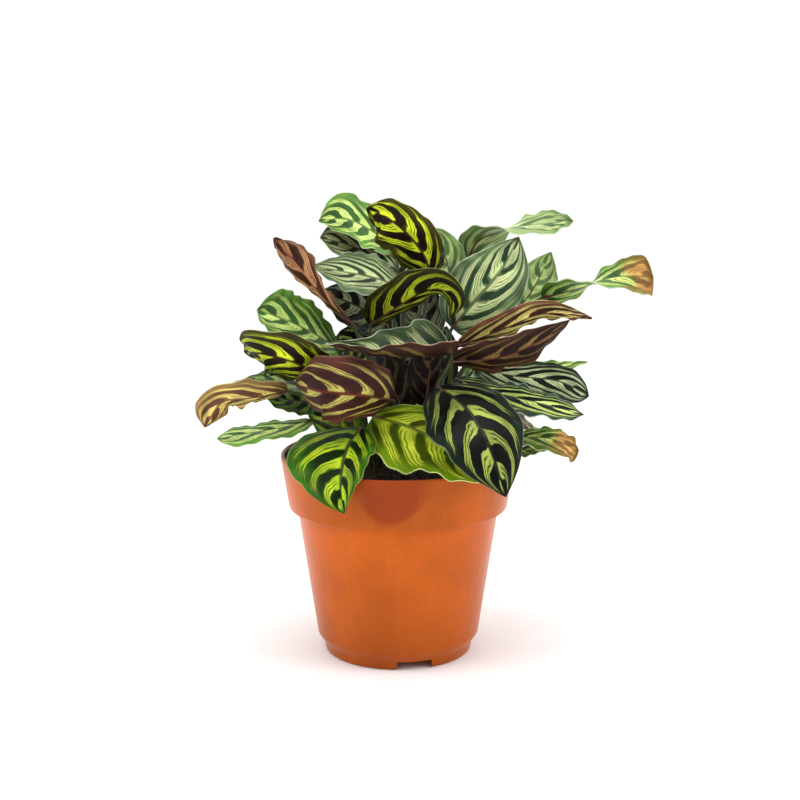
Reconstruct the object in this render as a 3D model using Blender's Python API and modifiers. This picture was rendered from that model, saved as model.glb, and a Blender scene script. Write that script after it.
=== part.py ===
"""Potted peacock plant: a striped-leaf house plant in a round plastic nursery pot.

Metres, +Z up. The pot's axis is Z, the pot stands on Z = 0 and the plant's front is -Y.
Pieces: the pot, the soil in it, and one object for each leaf with its stalk.
"""

import math
from collections import namedtuple

import bpy
import bmesh
from mathutils import Vector

MM = 0.001
OBJECT_NAME = "potted_peacock_plant"
GAP = 0.3

# Pot, in mm
POT_HEIGHT = 103.0
RIM_RADIUS = 60.0
BAND_LOW_RADIUS = 56.0
BAND_LOW_Z = 76.5
BODY_TOP_RADIUS = 51.4
BODY_TOP_Z = 74.0
BODY_LOW_RADIUS = 41.6
BODY_LOW_Z = 9.0
FOOT_RADIUS = 37.7
FOOT_HEIGHT = 4.3
FOOT_WIDTH = 3.4
PAD_RADIUS = 13.5
WALL = 1.5
POT_STEPS = 40
NOTCH_COUNT = 3
NOTCH_WIDTH = 18.2
NOTCH_TURN = 12.9
DRAIN_COUNT = 6
DRAIN_RADIUS = 3.6
DRAIN_RING_RADIUS = 25.0
DRAIN_SIDES = 12

# Soil, in mm
SOIL_EDGE_Z = 92.0
SOIL_CROWN_Z = 95.0
SOIL_RINGS = 3
STALK_DEPTH = 14.0
SOCKET_SIDES = 6

# Leaves, in mm
STALK_RADIUS = 1.15
STALK_NECK_RADIUS = 0.85
BLADE_THICKNESS = 0.8
STALK_RISE = 0.55
STALK_LEAD = 0.16
STALK_STATIONS = 3
BLADE_STATIONS = 11
END_CROWDING = 0.08
SPANS = (-1.0, -0.5, 0.0, 0.5, 1.0)
TIP_FRACTION = 0.03
LATE_FRACTION = 0.25
NECK_FRACTION = 0.03
LINE_STEPS = 20

# The raised front view that the front leaves are laid out in: the distance and height of the
# eye in mm, its downward pitch in degrees, and the focal length and centre in view units
EYE_DISTANCE = 805.0
EYE_HEIGHT = 291.8
EYE_ACROSS = 1.0
EYE_PITCH = math.radians(11.35)
EYE_FOCAL = 1616.0
EYE_CENTRE = 400.0

# Colours, linear
GREEN = (0.10, 0.22, 0.03, 1.0)
SILVER_GREEN = (0.22, 0.34, 0.15, 1.0)
DEEP_GREEN = (0.03, 0.07, 0.03, 1.0)
PURPLE_BROWN = (0.10, 0.03, 0.02, 1.0)
TERRACOTTA = (0.60, 0.16, 0.03, 1.0)
SOIL_BLACK = (0.012, 0.009, 0.007, 1.0)

Leaf = namedtuple("Leaf", "root spine face half cup wave twist form colour")

# Where along the blade it is widest, by where it has opened out, and how blunt its tip is
EARLY = (0.32, 0.0, 1.7)
BROAD = (0.42, 0.0, 2.1)
BLUNT = (0.56, 0.0, 3.4)
SQUARE = (0.6, 0.0, 5.0)
FLARED = (0.82, 0.0, 6.0)
HEARTED = (0.16, 0.0, 1.5)
LATE = (0.74, 0.72, 2.0)


def seen(column, row, forward):
    """The place, in mm, of a point of the front view that lies forward of the pot's axis."""
    aside = column - EYE_CENTRE
    lift = EYE_CENTRE - row
    away = math.cos(EYE_PITCH) * EYE_FOCAL + math.sin(EYE_PITCH) * lift
    up = math.cos(EYE_PITCH) * lift - math.sin(EYE_PITCH) * EYE_FOCAL
    reach = (EYE_DISTANCE - forward) / away
    return Vector((EYE_ACROSS + aside * reach, -forward, EYE_HEIGHT + up * reach))


def place(x, y, z):
    """A place given straight in mm."""
    return Vector((x, y, z))


# For each leaf: where its stalk leaves the soil, the midrib from blade base to tip, the way its
# upper face looks at mid-blade, the half widths left and right of the midrib as seen from above
# with the tip ahead, the cupping of each half in degrees, the edge wave (height, count, phase),
# the twist of base and tip in degrees, and where along the blade it is widest and fully open
LEAVES = {
    "leaf_front_left": Leaf(
        (-11, -15), [seen(361, 428, 32), seen(347, 450, 46), seen(341, 484, 61), seen(344, 514, 68)],
        (-0.2, -0.65, 0.72), (13, 31), (-10, -16), (0.8, 2.2, 0.2), (0, 0), EARLY, GREEN),
    "leaf_front_mid": Leaf(
        (-3, -20), [seen(373, 416, 21), seen(413, 428, 32), seen(458, 452, 43), seen(502, 485, 60)],
        (-0.2, -0.6, 0.75), (12, 26), (8, 20), (2.2, 2.5, 0.5), (0, 0), EARLY, GREEN),
    "leaf_front_right": Leaf(
        (10, -15), [seen(438, 387, 27), seen(465, 407, 43), seen(488, 443, 60), seen(506, 497, 68)],
        (0.1, -0.7, 0.7), (22, 23), (-14, -12), (1.2, 2.5, 0.5), (0, 0), BROAD, DEEP_GREEN),
    "leaf_left_low": Leaf(
        (-1, -10), [seen(394, 400, 19), seen(362, 395, 44), seen(322, 391, 52), seen(295, 384, 38)],
        (0.15, 0.95, 0.25), (18, 18), (55, 10), (1.2, 2.2, 0.3), (0, 0), BLUNT, PURPLE_BROWN),
    "leaf_left_mid": Leaf(
        (-13, -5), [seen(325, 376, 26), seen(292, 361, 42), seen(262, 353, 46), seen(245, 352, 36)],
        (0.1, 0.8, 0.6), (15, 17), (20, 10), (1.0, 2.2, 0.0), (0, 0), BLUNT, PURPLE_BROWN),
    "leaf_left_mid_under": Leaf(
        (-20, -3), [seen(325, 394, 0), seen(295, 385, 4), seen(262, 380, 6), seen(234, 382, 4)],
        (0.0, -0.2, 0.98), (11, 11), (6, 6), (0.8, 2.2, 0.4), (0, 0), BROAD, GREEN),
    "leaf_left_tip": Leaf(
        (-18, -11.5), [seen(287, 391, 30), seen(254, 397, 42), seen(222, 402, 44), seen(205, 427, 38)],
        (0.1, 0.7, 0.7), (11, 11), (30, 30), (1.4, 2.5, 0.2), (0, 0), BLUNT, PURPLE_BROWN),
    "leaf_left_under": Leaf(
        (-19, 3), [seen(322, 402, -5), seen(300, 401, -2), seen(280, 398, 0), seen(262, 390, 0)],
        (0.0, -0.5, 0.85), (10, 10), (0, 0), (0.6, 2.2, 0.0), (0, 0), BROAD, GREEN),
    "leaf_left_narrow": Leaf(
        (-22, -8), [seen(312, 420, 4), seen(285, 427, 12), seen(250, 433, 18), seen(217, 439, 20)],
        (0.0, -0.2, 0.98), (11, 11), (-8, -8), (0.8, 2.2, 0.1), (0, 0), SQUARE, SILVER_GREEN),
    "leaf_left_upper": Leaf(
        (-15, 3), [seen(338, 350, 6), seen(318, 336, 14), seen(290, 322, 22), seen(257, 310, 24)],
        (-0.1, -0.55, 0.8), (15, 19), (0, 30), (1.4, 2.6, 0.0), (0, 0), SQUARE, GREEN),
    "leaf_left_curled": Leaf(
        (-10, -1), [seen(354, 326, 11), seen(326, 300, 22), seen(303, 272, 29), seen(274, 238, 29)],
        (0.0, 1.0, 0.2), (11, 11), (95, 95), (0.8, 2.5, 0.0), (0, 0), LATE, PURPLE_BROWN),
    "leaf_top_left": Leaf(
        (-1, 13), [seen(392, 248, -28), seen(370, 230, -21), seen(346, 219, -11), seen(319, 221, 0)],
        (-0.1, -0.75, 0.65), (15, 17), (10, 10), (1.2, 2.8, 0.3), (0, 0), BROAD, GREEN),
    "leaf_top_left_under": Leaf(
        (-6, 8), [seen(398, 271, -20), seen(372, 255, -19), seen(345, 244, -12), seen(320, 238, -5)],
        (0.0, -0.7, 0.7), (11, 12), (10, 10), (0.8, 2.2, 0.0), (0, 0), BLUNT, SILVER_GREEN),
    "leaf_upper_left": Leaf(
        (-5, 3), [seen(404, 289, -3), seen(375, 278, 8), seen(345, 272, 11), seen(312, 266, 11)],
        (0.0, -0.6, 0.8), (15, 15), (8, 10), (1.0, 2.8, 0.0), (0, 0), BROAD, SILVER_GREEN),
    "leaf_left_shaded": Leaf(
        (-9, 5), [seen(388, 326, -12), seen(365, 310, -7), seen(343, 300, -4), seen(318, 292, -4)],
        (0.0, -0.7, 0.7), (15, 14), (8, 8), (1.0, 2.4, 0.2), (0, 0), BROAD, DEEP_GREEN),
    "leaf_top_back": Leaf(
        (5, 10), [seen(450, 290, -20), seen(448, 266, -16), seen(439, 245, -12), seen(420, 228, -9)],
        (0.0, -0.8, 0.6), (14, 10), (10, 10), (1.0, 2.2, 0.0), (0, 0), BROAD, SILVER_GREEN),
    "leaf_crown": Leaf(
        (3, 1), [seen(431, 276, 4), seen(424, 255, 15), seen(409, 235, 23), seen(390, 219, 28),
                 seen(367, 208, 26)],
        (-0.25, 0.6, 0.75), (12, 15), (12, 12), (1.6, 2.2, 0.0), (0, 0), BLUNT, GREEN),
    "leaf_upper_mid": Leaf(
        (-5, -5), [seen(370, 325, 15), seen(397, 307, 28), seen(421, 293, 35), seen(440, 289, 37),
                   seen(452, 300, 36), seen(450, 318, 32)],
        (-0.2, 0.9, 0.3), (5, 14), (8, 12), (1.0, 2.6, 0.5), (0, 0), BROAD, PURPLE_BROWN),
    "leaf_front_upper": Leaf(
        (17, -13), [seen(452, 353, 34), seen(416, 355, 44), seen(372, 354, 49), seen(326, 344, 49)],
        (0.0, -0.2, 0.98), (18, 20), (85, 88), (2.2, 2.6, 0.0), (0, 0), HEARTED, SILVER_GREEN),
    "leaf_right_upper": Leaf(
        (13, 7), [seen(452, 328, -2), seen(474, 302, 8), seen(501, 270, 10), seen(519, 237, 2)],
        (0.15, -0.85, 0.5), (18, 18), (15, 5), (1.2, 2.6, 0.0), (0, 0), BROAD, SILVER_GREEN),
    "leaf_top_right": Leaf(
        (14, 14), [seen(468, 260, -28), seen(478, 241, -22), seen(504, 229, -12), seen(532, 225, -6),
                   seen(573, 221, -4)],
        (0.0, -0.05, 1.0), (13, 13), (10, 10), (1.0, 2.2, 0.0), (70, -45), BLUNT, SILVER_GREEN),
    "leaf_right_small": Leaf(
        (18, 9), [seen(520, 308, -4), seen(536, 284, -6), seen(551, 252, -10)],
        (0.0, -0.8, 0.6), (10, 10), (10, 10), (0.6, 2.2, 0.0), (0, 0), BROAD, GREEN),
    "leaf_far_right": Leaf(
        (21, 2), [seen(542, 298, 4), seen(574, 289, 10), seen(616, 277, 14), seen(653, 277, 12)],
        (0.0, -0.05, 1.0), (14, 15), (10, 10), (0.8, 2.2, 0.0), (75, -48), FLARED, SILVER_GREEN),
    "leaf_right_high": Leaf(
        (20.5, -8), [seen(458, 346, 12), seen(500, 330, 20), seen(545, 313, 24), seen(592, 318, 24)],
        (0.0, 0.8, 0.5), (7, 8), (40, 40), (0.8, 2.2, 0.0), (0, 0), BROAD, PURPLE_BROWN),
    "leaf_right_mid": Leaf(
        (16, -7), [seen(452, 362, 16), seen(500, 357, 31), seen(537, 342, 34), seen(570, 320, 34)],
        (0.0, 0.85, 0.4), (9, 10), (15, 15), (1.6, 2.8, 0.0), (0, 0), BROAD, PURPLE_BROWN),
    "leaf_right_low_far": Leaf(
        (26, -2), [seen(475, 368, -3), seen(515, 376, 4), seen(558, 381, 11), seen(589, 396, 11)],
        (0.0, -0.6, 0.8), (10, 12), (15, 0), (0.8, 2.2, 0.0), (0, 0), SQUARE, SILVER_GREEN),
    "leaf_right_low_near": Leaf(
        (22, -3.5), [seen(455, 379, 4), seen(490, 391, 21), seen(535, 402, 33), seen(584, 415, 34)],
        (0.0, -0.4, 0.92), (10, 12), (0, 0), (1.4, 2.6, 0.0), (0, 0), BLUNT, SILVER_GREEN),
    "leaf_right_corner": Leaf(
        (28, 3), [seen(500, 374, -13), seen(530, 371, -12), seen(560, 367, -11), seen(588, 362, -12)],
        (0.0, -0.3, 0.95), (8, 7), (0, 0), (0.6, 2.2, 0.0), (0, 0), BROAD, GREEN),
    "leaf_right_drooping": Leaf(
        (25, -13), [seen(500, 440, 6), seen(530, 437, 16), seen(556, 440, 22), seen(578, 452, 20)],
        (0.0, -0.5, 0.85), (8, 9), (0, 0), (0.6, 2.2, 0.0), (0, 0), FLARED, GREEN),
    "leaf_right_low_small": Leaf(
        (26.5, -8.5), [seen(495, 450, 4), seen(520, 450, 8), seen(548, 450, 12)],
        (0.0, -0.2, 0.98), (8, 8), (0, 0), (0.5, 2.2, 0.0), (0, 0), BROAD, GREEN),
    "leaf_left_inner": Leaf(
        (-14, 9), [seen(372, 342, -17), seen(354, 344, -13), seen(330, 362, -12)],
        (-0.2, -0.8, 0.5), (10, 10), (10, 10), (0.8, 2.2, 0.0), (0, 0), BROAD, DEEP_GREEN),
    "leaf_centre_left": Leaf(
        (-2, -2), [seen(404, 414, 6), seen(396, 394, 4), seen(383, 372, 0), seen(370, 350, -8)],
        (0.2, 0.95, 0.1), (13, 13), (15, 15), (0.8, 2.2, 0.0), (0, 0), BROAD, PURPLE_BROWN),
    "leaf_centre_right": Leaf(
        (12, -1), [seen(425, 406, 7), seen(428, 384, 8), seen(431, 360, 6), seen(438, 338, 0)],
        (-0.2, 0.95, 0.1), (8, 11), (15, 15), (0.8, 2.2, 0.0), (0, 0), BROAD, PURPLE_BROWN),
    "leaf_back_left": Leaf(
        (-7, 18), [place(-14, 27, 142), place(-22, 50, 150), place(-35, 92, 123)],
        (0.0, 0.2, 1.0), (17, 16), (8, 8), (1.2, 2.5, 0.0), (0, 0), BROAD, GREEN),
    "leaf_back_mid": Leaf(
        (3.5, 23), [place(2, 29, 138), place(6, 35, 154), place(12, 46, 171), place(17, 62, 182)],
        (0.0, -0.7, 0.7), (18, 15), (8, 8), (1.2, 2.5, 0.3), (0, 0), BROAD, DEEP_GREEN),
    "leaf_back_right": Leaf(
        (12, 19), [place(18, 18, 114), place(21, 25, 132), place(24, 36, 149), place(26, 54, 160)],
        (0.0, -0.8, 0.6), (11, 9), (8, 8), (1.0, 2.5, 0.6), (0, 0), BROAD, DEEP_GREEN),
    "leaf_back_far_left": Leaf(
        (-16, 15), [place(-24, 20, 132), place(-42, 42, 138), place(-62, 70, 112)],
        (-0.2, 0.2, 1.0), (16, 16), (8, 8), (1.2, 2.5, 0.1), (0, 0), BROAD, GREEN),
    "leaf_back_far_right": Leaf(
        (20, 15), [place(34, 20, 134), place(54, 40, 138), place(78, 64, 112)],
        (0.2, 0.2, 1.0), (15, 16), (8, 8), (1.2, 2.5, 0.4), (0, 0), BROAD, GREEN),
    "leaf_back_high_left": Leaf(
        (-3, 22), [place(-3, 27, 182), place(-7, 38, 199), place(-13, 58, 211), place(-24, 86, 203)],
        (-0.1, -0.3, 1.0), (16, 16), (10, 10), (1.2, 2.5, 0.7), (0, 0), BROAD, SILVER_GREEN),
    "leaf_back_high_right": Leaf(
        (7, 20), [place(16, 30, 192), place(27, 53, 202), place(43, 85, 188)],
        (0.1, 0.2, 1.0), (15, 16), (10, 10), (1.2, 2.5, 0.2), (0, 0), BROAD, SILVER_GREEN),
    "leaf_back_low": Leaf(
        (0, 27), [place(1, 35, 116), place(0, 58, 120), place(-6, 90, 96)],
        (0.0, 0.2, 1.0), (17, 17), (-8, -8), (1.2, 2.5, 0.0), (0, 0), BROAD, GREEN),
    "leaf_back_low_left": Leaf(
        (-21, 10), [place(-22, 19, 97), place(-29, 26, 109), place(-38, 36, 118), place(-50, 50, 122)],
        (-0.2, -0.8, 0.6), (12, 12), (0, 0), (1.0, 2.2, 0.5), (0, 0), BROAD, GREEN),
    "leaf_back_low_right": Leaf(
        (25, 9), [place(34, 14, 116), place(54, 24, 120), place(80, 36, 102)],
        (0.2, 0.2, 1.0), (14, 14), (-8, -8), (1.2, 2.5, 0.8), (0, 0), BROAD, GREEN),
}


def clear_scene():
    """Remove what the scene holds."""
    for item in list(bpy.data.objects):
        bpy.data.objects.remove(item)


def add_collection(name):
    """A new collection in the scene."""
    group = bpy.data.collections.new(name)
    bpy.context.scene.collection.children.link(group)
    return group


def principled(name, colour, roughness):
    """A plain surface."""
    material = bpy.data.materials.new(name)
    material.use_nodes = True
    shader = material.node_tree.nodes["Principled BSDF"]
    shader.inputs["Base Color"].default_value = colour
    shader.inputs["Roughness"].default_value = roughness
    shader.inputs["Metallic"].default_value = 0.0
    return material


def add_object(group, name, mesh, material=None):
    """An object in the group, with its mesh and surface."""
    item = bpy.data.objects.new(name, mesh)
    group.objects.link(item)
    if material:
        mesh.materials.append(material)
    return item


def add_turned(group, name, profile, material):
    """A solid turned about Z from a profile given from top to bottom, in mm."""
    mesh = bpy.data.meshes.new(name)
    shape = bmesh.new()
    corners = [shape.verts.new((radius * MM, 0.0, height * MM)) for radius, height in profile]
    for upper, lower in zip(corners, corners[1:]):
        shape.edges.new((upper, lower))
    shape.to_mesh(mesh)
    shape.free()
    item = add_object(group, name, mesh, material)
    screw = item.modifiers.new("Turn", "SCREW")
    screw.axis = "Z"
    screw.steps = POT_STEPS
    screw.render_steps = POT_STEPS
    screw.use_merge_vertices = True
    screw.merge_threshold = 0.00005
    screw.use_smooth_shade = True
    return item


def add_cutter(group, name, mesh):
    """A hidden object that only cuts another."""
    item = add_object(group, name, mesh)
    item.hide_render = True
    item.display_type = "WIRE"
    return item


def cut(item, cutter, solver="EXACT"):
    """Take the cutter's shape out of the item."""
    step = item.modifiers.new("Cut " + cutter.name, "BOOLEAN")
    step.operation = "DIFFERENCE"
    step.solver = solver
    step.object = cutter


def turned(angle, radius):
    """The x and y of a point at an angle from the front, toward +X."""
    return radius * math.sin(angle), -radius * math.cos(angle)


def inner_line(gap):
    """The pot's inner surface from the axis out and up to the rim, moved inward by a gap."""
    edge = 0.7
    floor = FOOT_HEIGHT + WALL
    pad = PAD_RADIUS - WALL
    return [
        (0.0, WALL + gap),
        (pad - gap, WALL + gap),
        (pad + edge - gap, floor + gap),
        (FOOT_RADIUS - WALL - gap, floor + gap),
        (BODY_LOW_RADIUS - WALL - gap, BODY_LOW_Z + WALL + gap),
        (BODY_TOP_RADIUS - WALL - gap, BODY_TOP_Z + edge + gap),
        (BAND_LOW_RADIUS - WALL - gap, BAND_LOW_Z + WALL + gap),
        (RIM_RADIUS - WALL - edge - gap, POT_HEIGHT - edge),
        (RIM_RADIUS - WALL - gap, POT_HEIGHT),
    ]


def outer_line():
    """The pot's outside from the rim down, then its underside in to the axis."""
    edge = 0.7
    ring = FOOT_RADIUS - FOOT_WIDTH
    return [
        (RIM_RADIUS - edge, POT_HEIGHT),
        (RIM_RADIUS, POT_HEIGHT - edge),
        (BAND_LOW_RADIUS, BAND_LOW_Z),
        (BAND_LOW_RADIUS - edge, BAND_LOW_Z - edge),
        (BODY_TOP_RADIUS, BODY_TOP_Z),
        (BODY_LOW_RADIUS, BODY_LOW_Z),
        (FOOT_RADIUS + edge, FOOT_HEIGHT),
        (FOOT_RADIUS, 0.0),
        (ring, 0.0),
        (ring, FOOT_HEIGHT),
        (PAD_RADIUS + edge, FOOT_HEIGHT),
        (PAD_RADIUS, 0.0),
        (0.0, 0.0),
    ]


def add_notch_cutter(group, index):
    """A block that opens one notch in the foot ring."""
    angle = math.radians(NOTCH_TURN + index * 360.0 / NOTCH_COUNT)
    x, y = turned(angle, FOOT_RADIUS)
    mesh = bpy.data.meshes.new("notch")
    shape = bmesh.new()
    bmesh.ops.create_cube(shape, size=MM)
    size = (NOTCH_WIDTH, 3.0 * FOOT_WIDTH, 2.0 * (FOOT_HEIGHT - GAP))
    bmesh.ops.scale(shape, vec=size, verts=shape.verts)
    shape.to_mesh(mesh)
    shape.free()
    item = add_cutter(group, f"notch_{index + 1}", mesh)
    item.location = (x * MM, y * MM, 0.0)
    item.rotation_euler = (0.0, 0.0, angle)
    return item


def add_rod_cutter(group, name, sides, radius, ends):
    """A rod along Z between two heights, centred on places in mm, as one cutter."""
    mesh = bpy.data.meshes.new(name)
    shape = bmesh.new()
    for x, y, low, high in ends:
        made = bmesh.ops.create_cone(
            shape, cap_ends=True, segments=sides, radius1=radius * MM,
            radius2=radius * MM, depth=(high - low) * MM)
        middle = Vector((x, y, 0.5 * (low + high))) * MM
        bmesh.ops.translate(shape, vec=middle, verts=made["verts"])
    shape.to_mesh(mesh)
    shape.free()
    return add_cutter(group, name, mesh)


def add_pot(parts, cutters):
    """The nursery pot: rim band, tapered body, notched foot ring and drained floor."""
    material = principled("pot_plastic", TERRACOTTA, 0.35)
    item = add_turned(parts, "pot", inner_line(0.0) + outer_line(), material)
    for index in range(NOTCH_COUNT):
        cut(item, add_notch_cutter(cutters, index))
    ends = []
    for index in range(DRAIN_COUNT):
        angle = math.radians(NOTCH_TURN + (index + 0.5) * 360.0 / DRAIN_COUNT)
        x, y = turned(angle, DRAIN_RING_RADIUS)
        ends.append((x, y, FOOT_HEIGHT - WALL, FOOT_HEIGHT + 2.0 * WALL))
    cut(item, add_rod_cutter(cutters, "drains", DRAIN_SIDES, DRAIN_RADIUS, ends))
    return item


def soil_radius():
    """The soil's radius where its top meets the pot's wall."""
    low, high = inner_line(GAP)[6:8]
    share = (SOIL_EDGE_Z - low[1]) / (high[1] - low[1])
    return low[0] + share * (high[0] - low[0])


def soil_top(radius):
    """The height of the slightly mounded soil at a radius, in mm."""
    return SOIL_EDGE_Z + (SOIL_CROWN_Z - SOIL_EDGE_Z) * (1.0 - (radius / soil_radius()) ** 2)


def add_soil(parts, cutters):
    """The soil that fills the pot, with a plain socket for each stalk."""
    rim = soil_radius()
    top = [(rim * step / SOIL_RINGS, soil_top(rim * step / SOIL_RINGS))
           for step in range(SOIL_RINGS + 1)]
    wall = inner_line(GAP)[:7]
    material = principled("soil", SOIL_BLACK, 0.95)
    item = add_turned(parts, "soil", top + wall[::-1], material)
    ends = []
    for leaf in LEAVES.values():
        x, y = leaf.root
        ends.append((x, y, SOIL_EDGE_Z - STALK_DEPTH - GAP, SOIL_CROWN_Z + STALK_DEPTH))
    radius = STALK_RADIUS + 1.5 * GAP
    cut(item, add_rod_cutter(cutters, "sockets", SOCKET_SIDES, radius, ends), "MANIFOLD")
    return item


def smooth_line(points):
    """A fine line that runs smoothly through the points."""
    first = 2.0 * points[0] - points[1]
    last = 2.0 * points[-1] - points[-2]
    posts = [first] + list(points) + [last]
    line = []
    for a, b, c, d in zip(posts, posts[1:], posts[2:], posts[3:]):
        for step in range(LINE_STEPS):
            u = step / LINE_STEPS
            bend = (2.0 * a - 5.0 * b + 4.0 * c - d) * u + (3.0 * b - a - 3.0 * c + d) * u * u
            line.append(b + 0.5 * u * (c - a + bend))
    line.append(points[-1])
    return line


def stalk_line(root, base, heading):
    """A fine line that rises from the root and turns into the blade's heading at its base."""
    reach = (base - root).length
    lift = root + Vector((0.0, 0.0, STALK_RISE * reach))
    lead = base - heading * STALK_LEAD * reach
    line = []
    for step in range(LINE_STEPS + 1):
        u = step / LINE_STEPS
        v = 1.0 - u
        line.append(v ** 3 * root + 3.0 * v * v * u * lift + 3.0 * v * u * u * lead + u ** 3 * base)
    return line


def pick(line, shares):
    """Points and headings at the given shares of a fine line's length."""
    lengths = [0.0]
    for near, far in zip(line, line[1:]):
        lengths.append(lengths[-1] + (far - near).length)
    picked = []
    index = 0
    for share in shares:
        goal = share * lengths[-1]
        while index < len(line) - 2 and lengths[index + 1] < goal:
            index += 1
        near, far = line[index], line[index + 1]
        part = (goal - lengths[index]) / (lengths[index + 1] - lengths[index])
        before = line[max(index - 1, 0)]
        after = line[min(index + 2, len(line) - 1)]
        heading = (far - before).lerp(after - near, part).normalized()
        picked.append((near.lerp(far, part), heading))
    return picked


def square_to(vector, heading):
    """The vector turned square to a heading, at unit length."""
    return (vector - vector.dot(heading) * heading).normalized()


def carry(face, headings):
    """The face direction carried along a run of headings without extra roll."""
    faces = []
    for heading in headings:
        face = square_to(face, heading)
        faces.append(face)
    return faces


def blade_shares():
    """Shares of the blade's length, closer together toward both ends."""
    shares = []
    for step in range(BLADE_STATIONS + 1):
        u = step / BLADE_STATIONS
        shares.append(u - END_CROWDING * math.sin(2.0 * math.pi * u))
    return shares


def outline(share, form):
    """The blade's half width at a share of its length, as a fraction of the widest."""
    widest, opened, bluntness = form
    if share >= widest:
        return 1.0 - ((share - widest) / (1.0 - widest)) ** bluntness
    rounded = math.sqrt(max(0.0, 1.0 - (1.0 - share / widest) ** 2))
    if share >= opened:
        return rounded
    return rounded * (LATE_FRACTION + (1.0 - LATE_FRACTION) * (share / opened) ** 2)


def roll_at(share, twist):
    """The extra roll about the midrib, in radians, growing toward both ends."""
    end = twist[0] if share < 0.5 else twist[1]
    return math.radians(end) * abs(2.0 * share - 1.0)


def stalk_ring(radius):
    """Ring points of a round stalk, as (aside, above), in the order of a blade's ring."""
    count = 2 * len(SPANS)
    ring = []
    for index in range(count):
        angle = math.pi - (index + 0.5) * 2.0 * math.pi / count
        ring.append((radius * math.cos(angle), radius * math.sin(angle)))
    return ring


def blade_ring(leaf, share):
    """Ring points of the blade at a share of its length, as (aside, above)."""
    height, count, phase = leaf.wave
    width = outline(share, leaf.form) + TIP_FRACTION
    thickness = 0.5 * BLADE_THICKNESS
    upper = []
    lower = []
    for span in SPANS:
        hand = 0 if span < 0.0 else 1
        reach = abs(span) * leaf.half[hand] * width
        bend = math.radians(leaf.cup[hand] or 0.01)
        turn = abs(span) * bend
        radius = leaf.half[hand] * width / bend
        aside = math.copysign(radius * math.sin(turn), span) if reach else 0.0
        above = radius * (1.0 - math.cos(turn))
        tilt = math.copysign(turn, span)
        ripple = math.sin(2.0 * math.pi * (count * share + phase + 0.3 * hand))
        swell = height * span * span * math.sin(math.pi * share) * ripple
        for side, points in ((thickness, upper), (-thickness, lower)):
            points.append((aside - (swell + side) * math.sin(tilt),
                           above + (swell + side) * math.cos(tilt)))
    return upper + lower[::-1]


def mixed_ring(first, second, share):
    """A ring part way between two."""
    return [(a[0] + (b[0] - a[0]) * share, a[1] + (b[1] - a[1]) * share)
            for a, b in zip(first, second)]


def leaf_rings(leaf):
    """The rings of one leaf from the stalk's foot in the soil to the blade's tip, in mm."""
    shares = blade_shares()
    blade = pick(smooth_line(leaf.spine), shares)
    headings = [heading for _, heading in blade]
    middle = len(shares) // 2
    face = square_to(Vector(leaf.face), headings[middle])
    ahead = carry(face, headings[middle:])
    behind = carry(face, headings[:middle + 1][::-1])[::-1]
    faces = behind[:-1] + ahead
    base, heading = blade[0]
    x, y = leaf.root
    ground = Vector((x, y, soil_top(math.hypot(x, y)) + 1.0))
    foot = Vector((x, y, SOIL_EDGE_Z - STALK_DEPTH))
    stalk_shares = [step / STALK_STATIONS for step in range(STALK_STATIONS)]
    stalk = pick(stalk_line(ground, base, heading), stalk_shares)
    stalk_headings = [stalk[0][1]] + [along for _, along in stalk]
    stalk_faces = carry(faces[0], stalk_headings[::-1])[::-1]
    rings = []
    sites = [(foot, stalk[0][1])] + stalk
    for index, ((spot, along), above) in enumerate(zip(sites, stalk_faces)):
        slim = max(0.0, (index - 1.0) / STALK_STATIONS)
        radius = STALK_RADIUS + (STALK_NECK_RADIUS - STALK_RADIUS) * slim
        rings.append(set_ring(spot, along, above, math.radians(leaf.twist[0]), stalk_ring(radius)))
    neck = stalk_ring(STALK_NECK_RADIUS)
    for (spot, along), above, share in zip(blade, faces, shares):
        flatness = min(1.0, share / NECK_FRACTION)
        ring = mixed_ring(neck, blade_ring(leaf, share), flatness)
        rings.append(set_ring(spot, along, above, roll_at(share, leaf.twist), ring))
    return rings


def set_ring(spot, heading, face, roll, ring):
    """Ring points set square to the heading at a spot, in metres."""
    side = heading.cross(face)
    above = face * math.cos(roll) - side * math.sin(roll)
    side = heading.cross(above)
    return [(spot + side * aside + above * lift) * MM for aside, lift in ring]


def add_leaf(parts, name, leaf, material):
    """One leaf: a lofted stalk that opens into a thin waved blade."""
    shape = bmesh.new()
    rings = [[shape.verts.new(point) for point in ring] for ring in leaf_rings(leaf)]
    count = len(rings[0])
    half = count // 2
    for near, far in zip(rings, rings[1:]):
        for index in range(count):
            after = (index + 1) % count
            a, b, c, d = near[index], near[after], far[after], far[index]
            if index < half:
                shape.faces.new((a, b, c))
                shape.faces.new((a, c, d))
            else:
                shape.faces.new((a, b, d))
                shape.faces.new((b, c, d))
    shape.faces.new(rings[0][::-1])
    shape.faces.new(rings[-1])
    bmesh.ops.recalc_face_normals(shape, faces=shape.faces)
    mesh = bpy.data.meshes.new(name)
    shape.to_mesh(mesh)
    shape.free()
    return add_object(parts, name, mesh, material)


def build():
    """Build every piece."""
    clear_scene()
    parts = add_collection(OBJECT_NAME)
    cutters = add_collection("cutters")
    add_pot(parts, cutters)
    add_soil(parts, cutters)
    for name, leaf in LEAVES.items():
        add_leaf(parts, name, leaf, principled(name, leaf.colour, 0.45))


build()
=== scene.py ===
"""Potted peacock plant: striped leaves with veins and wavy edges, loose soil, and a satin
orange nursery pot. Metres, +Z up; the pot's axis is Z and the plant's front is -Y.
"""

import math
import random
from collections import namedtuple

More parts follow.
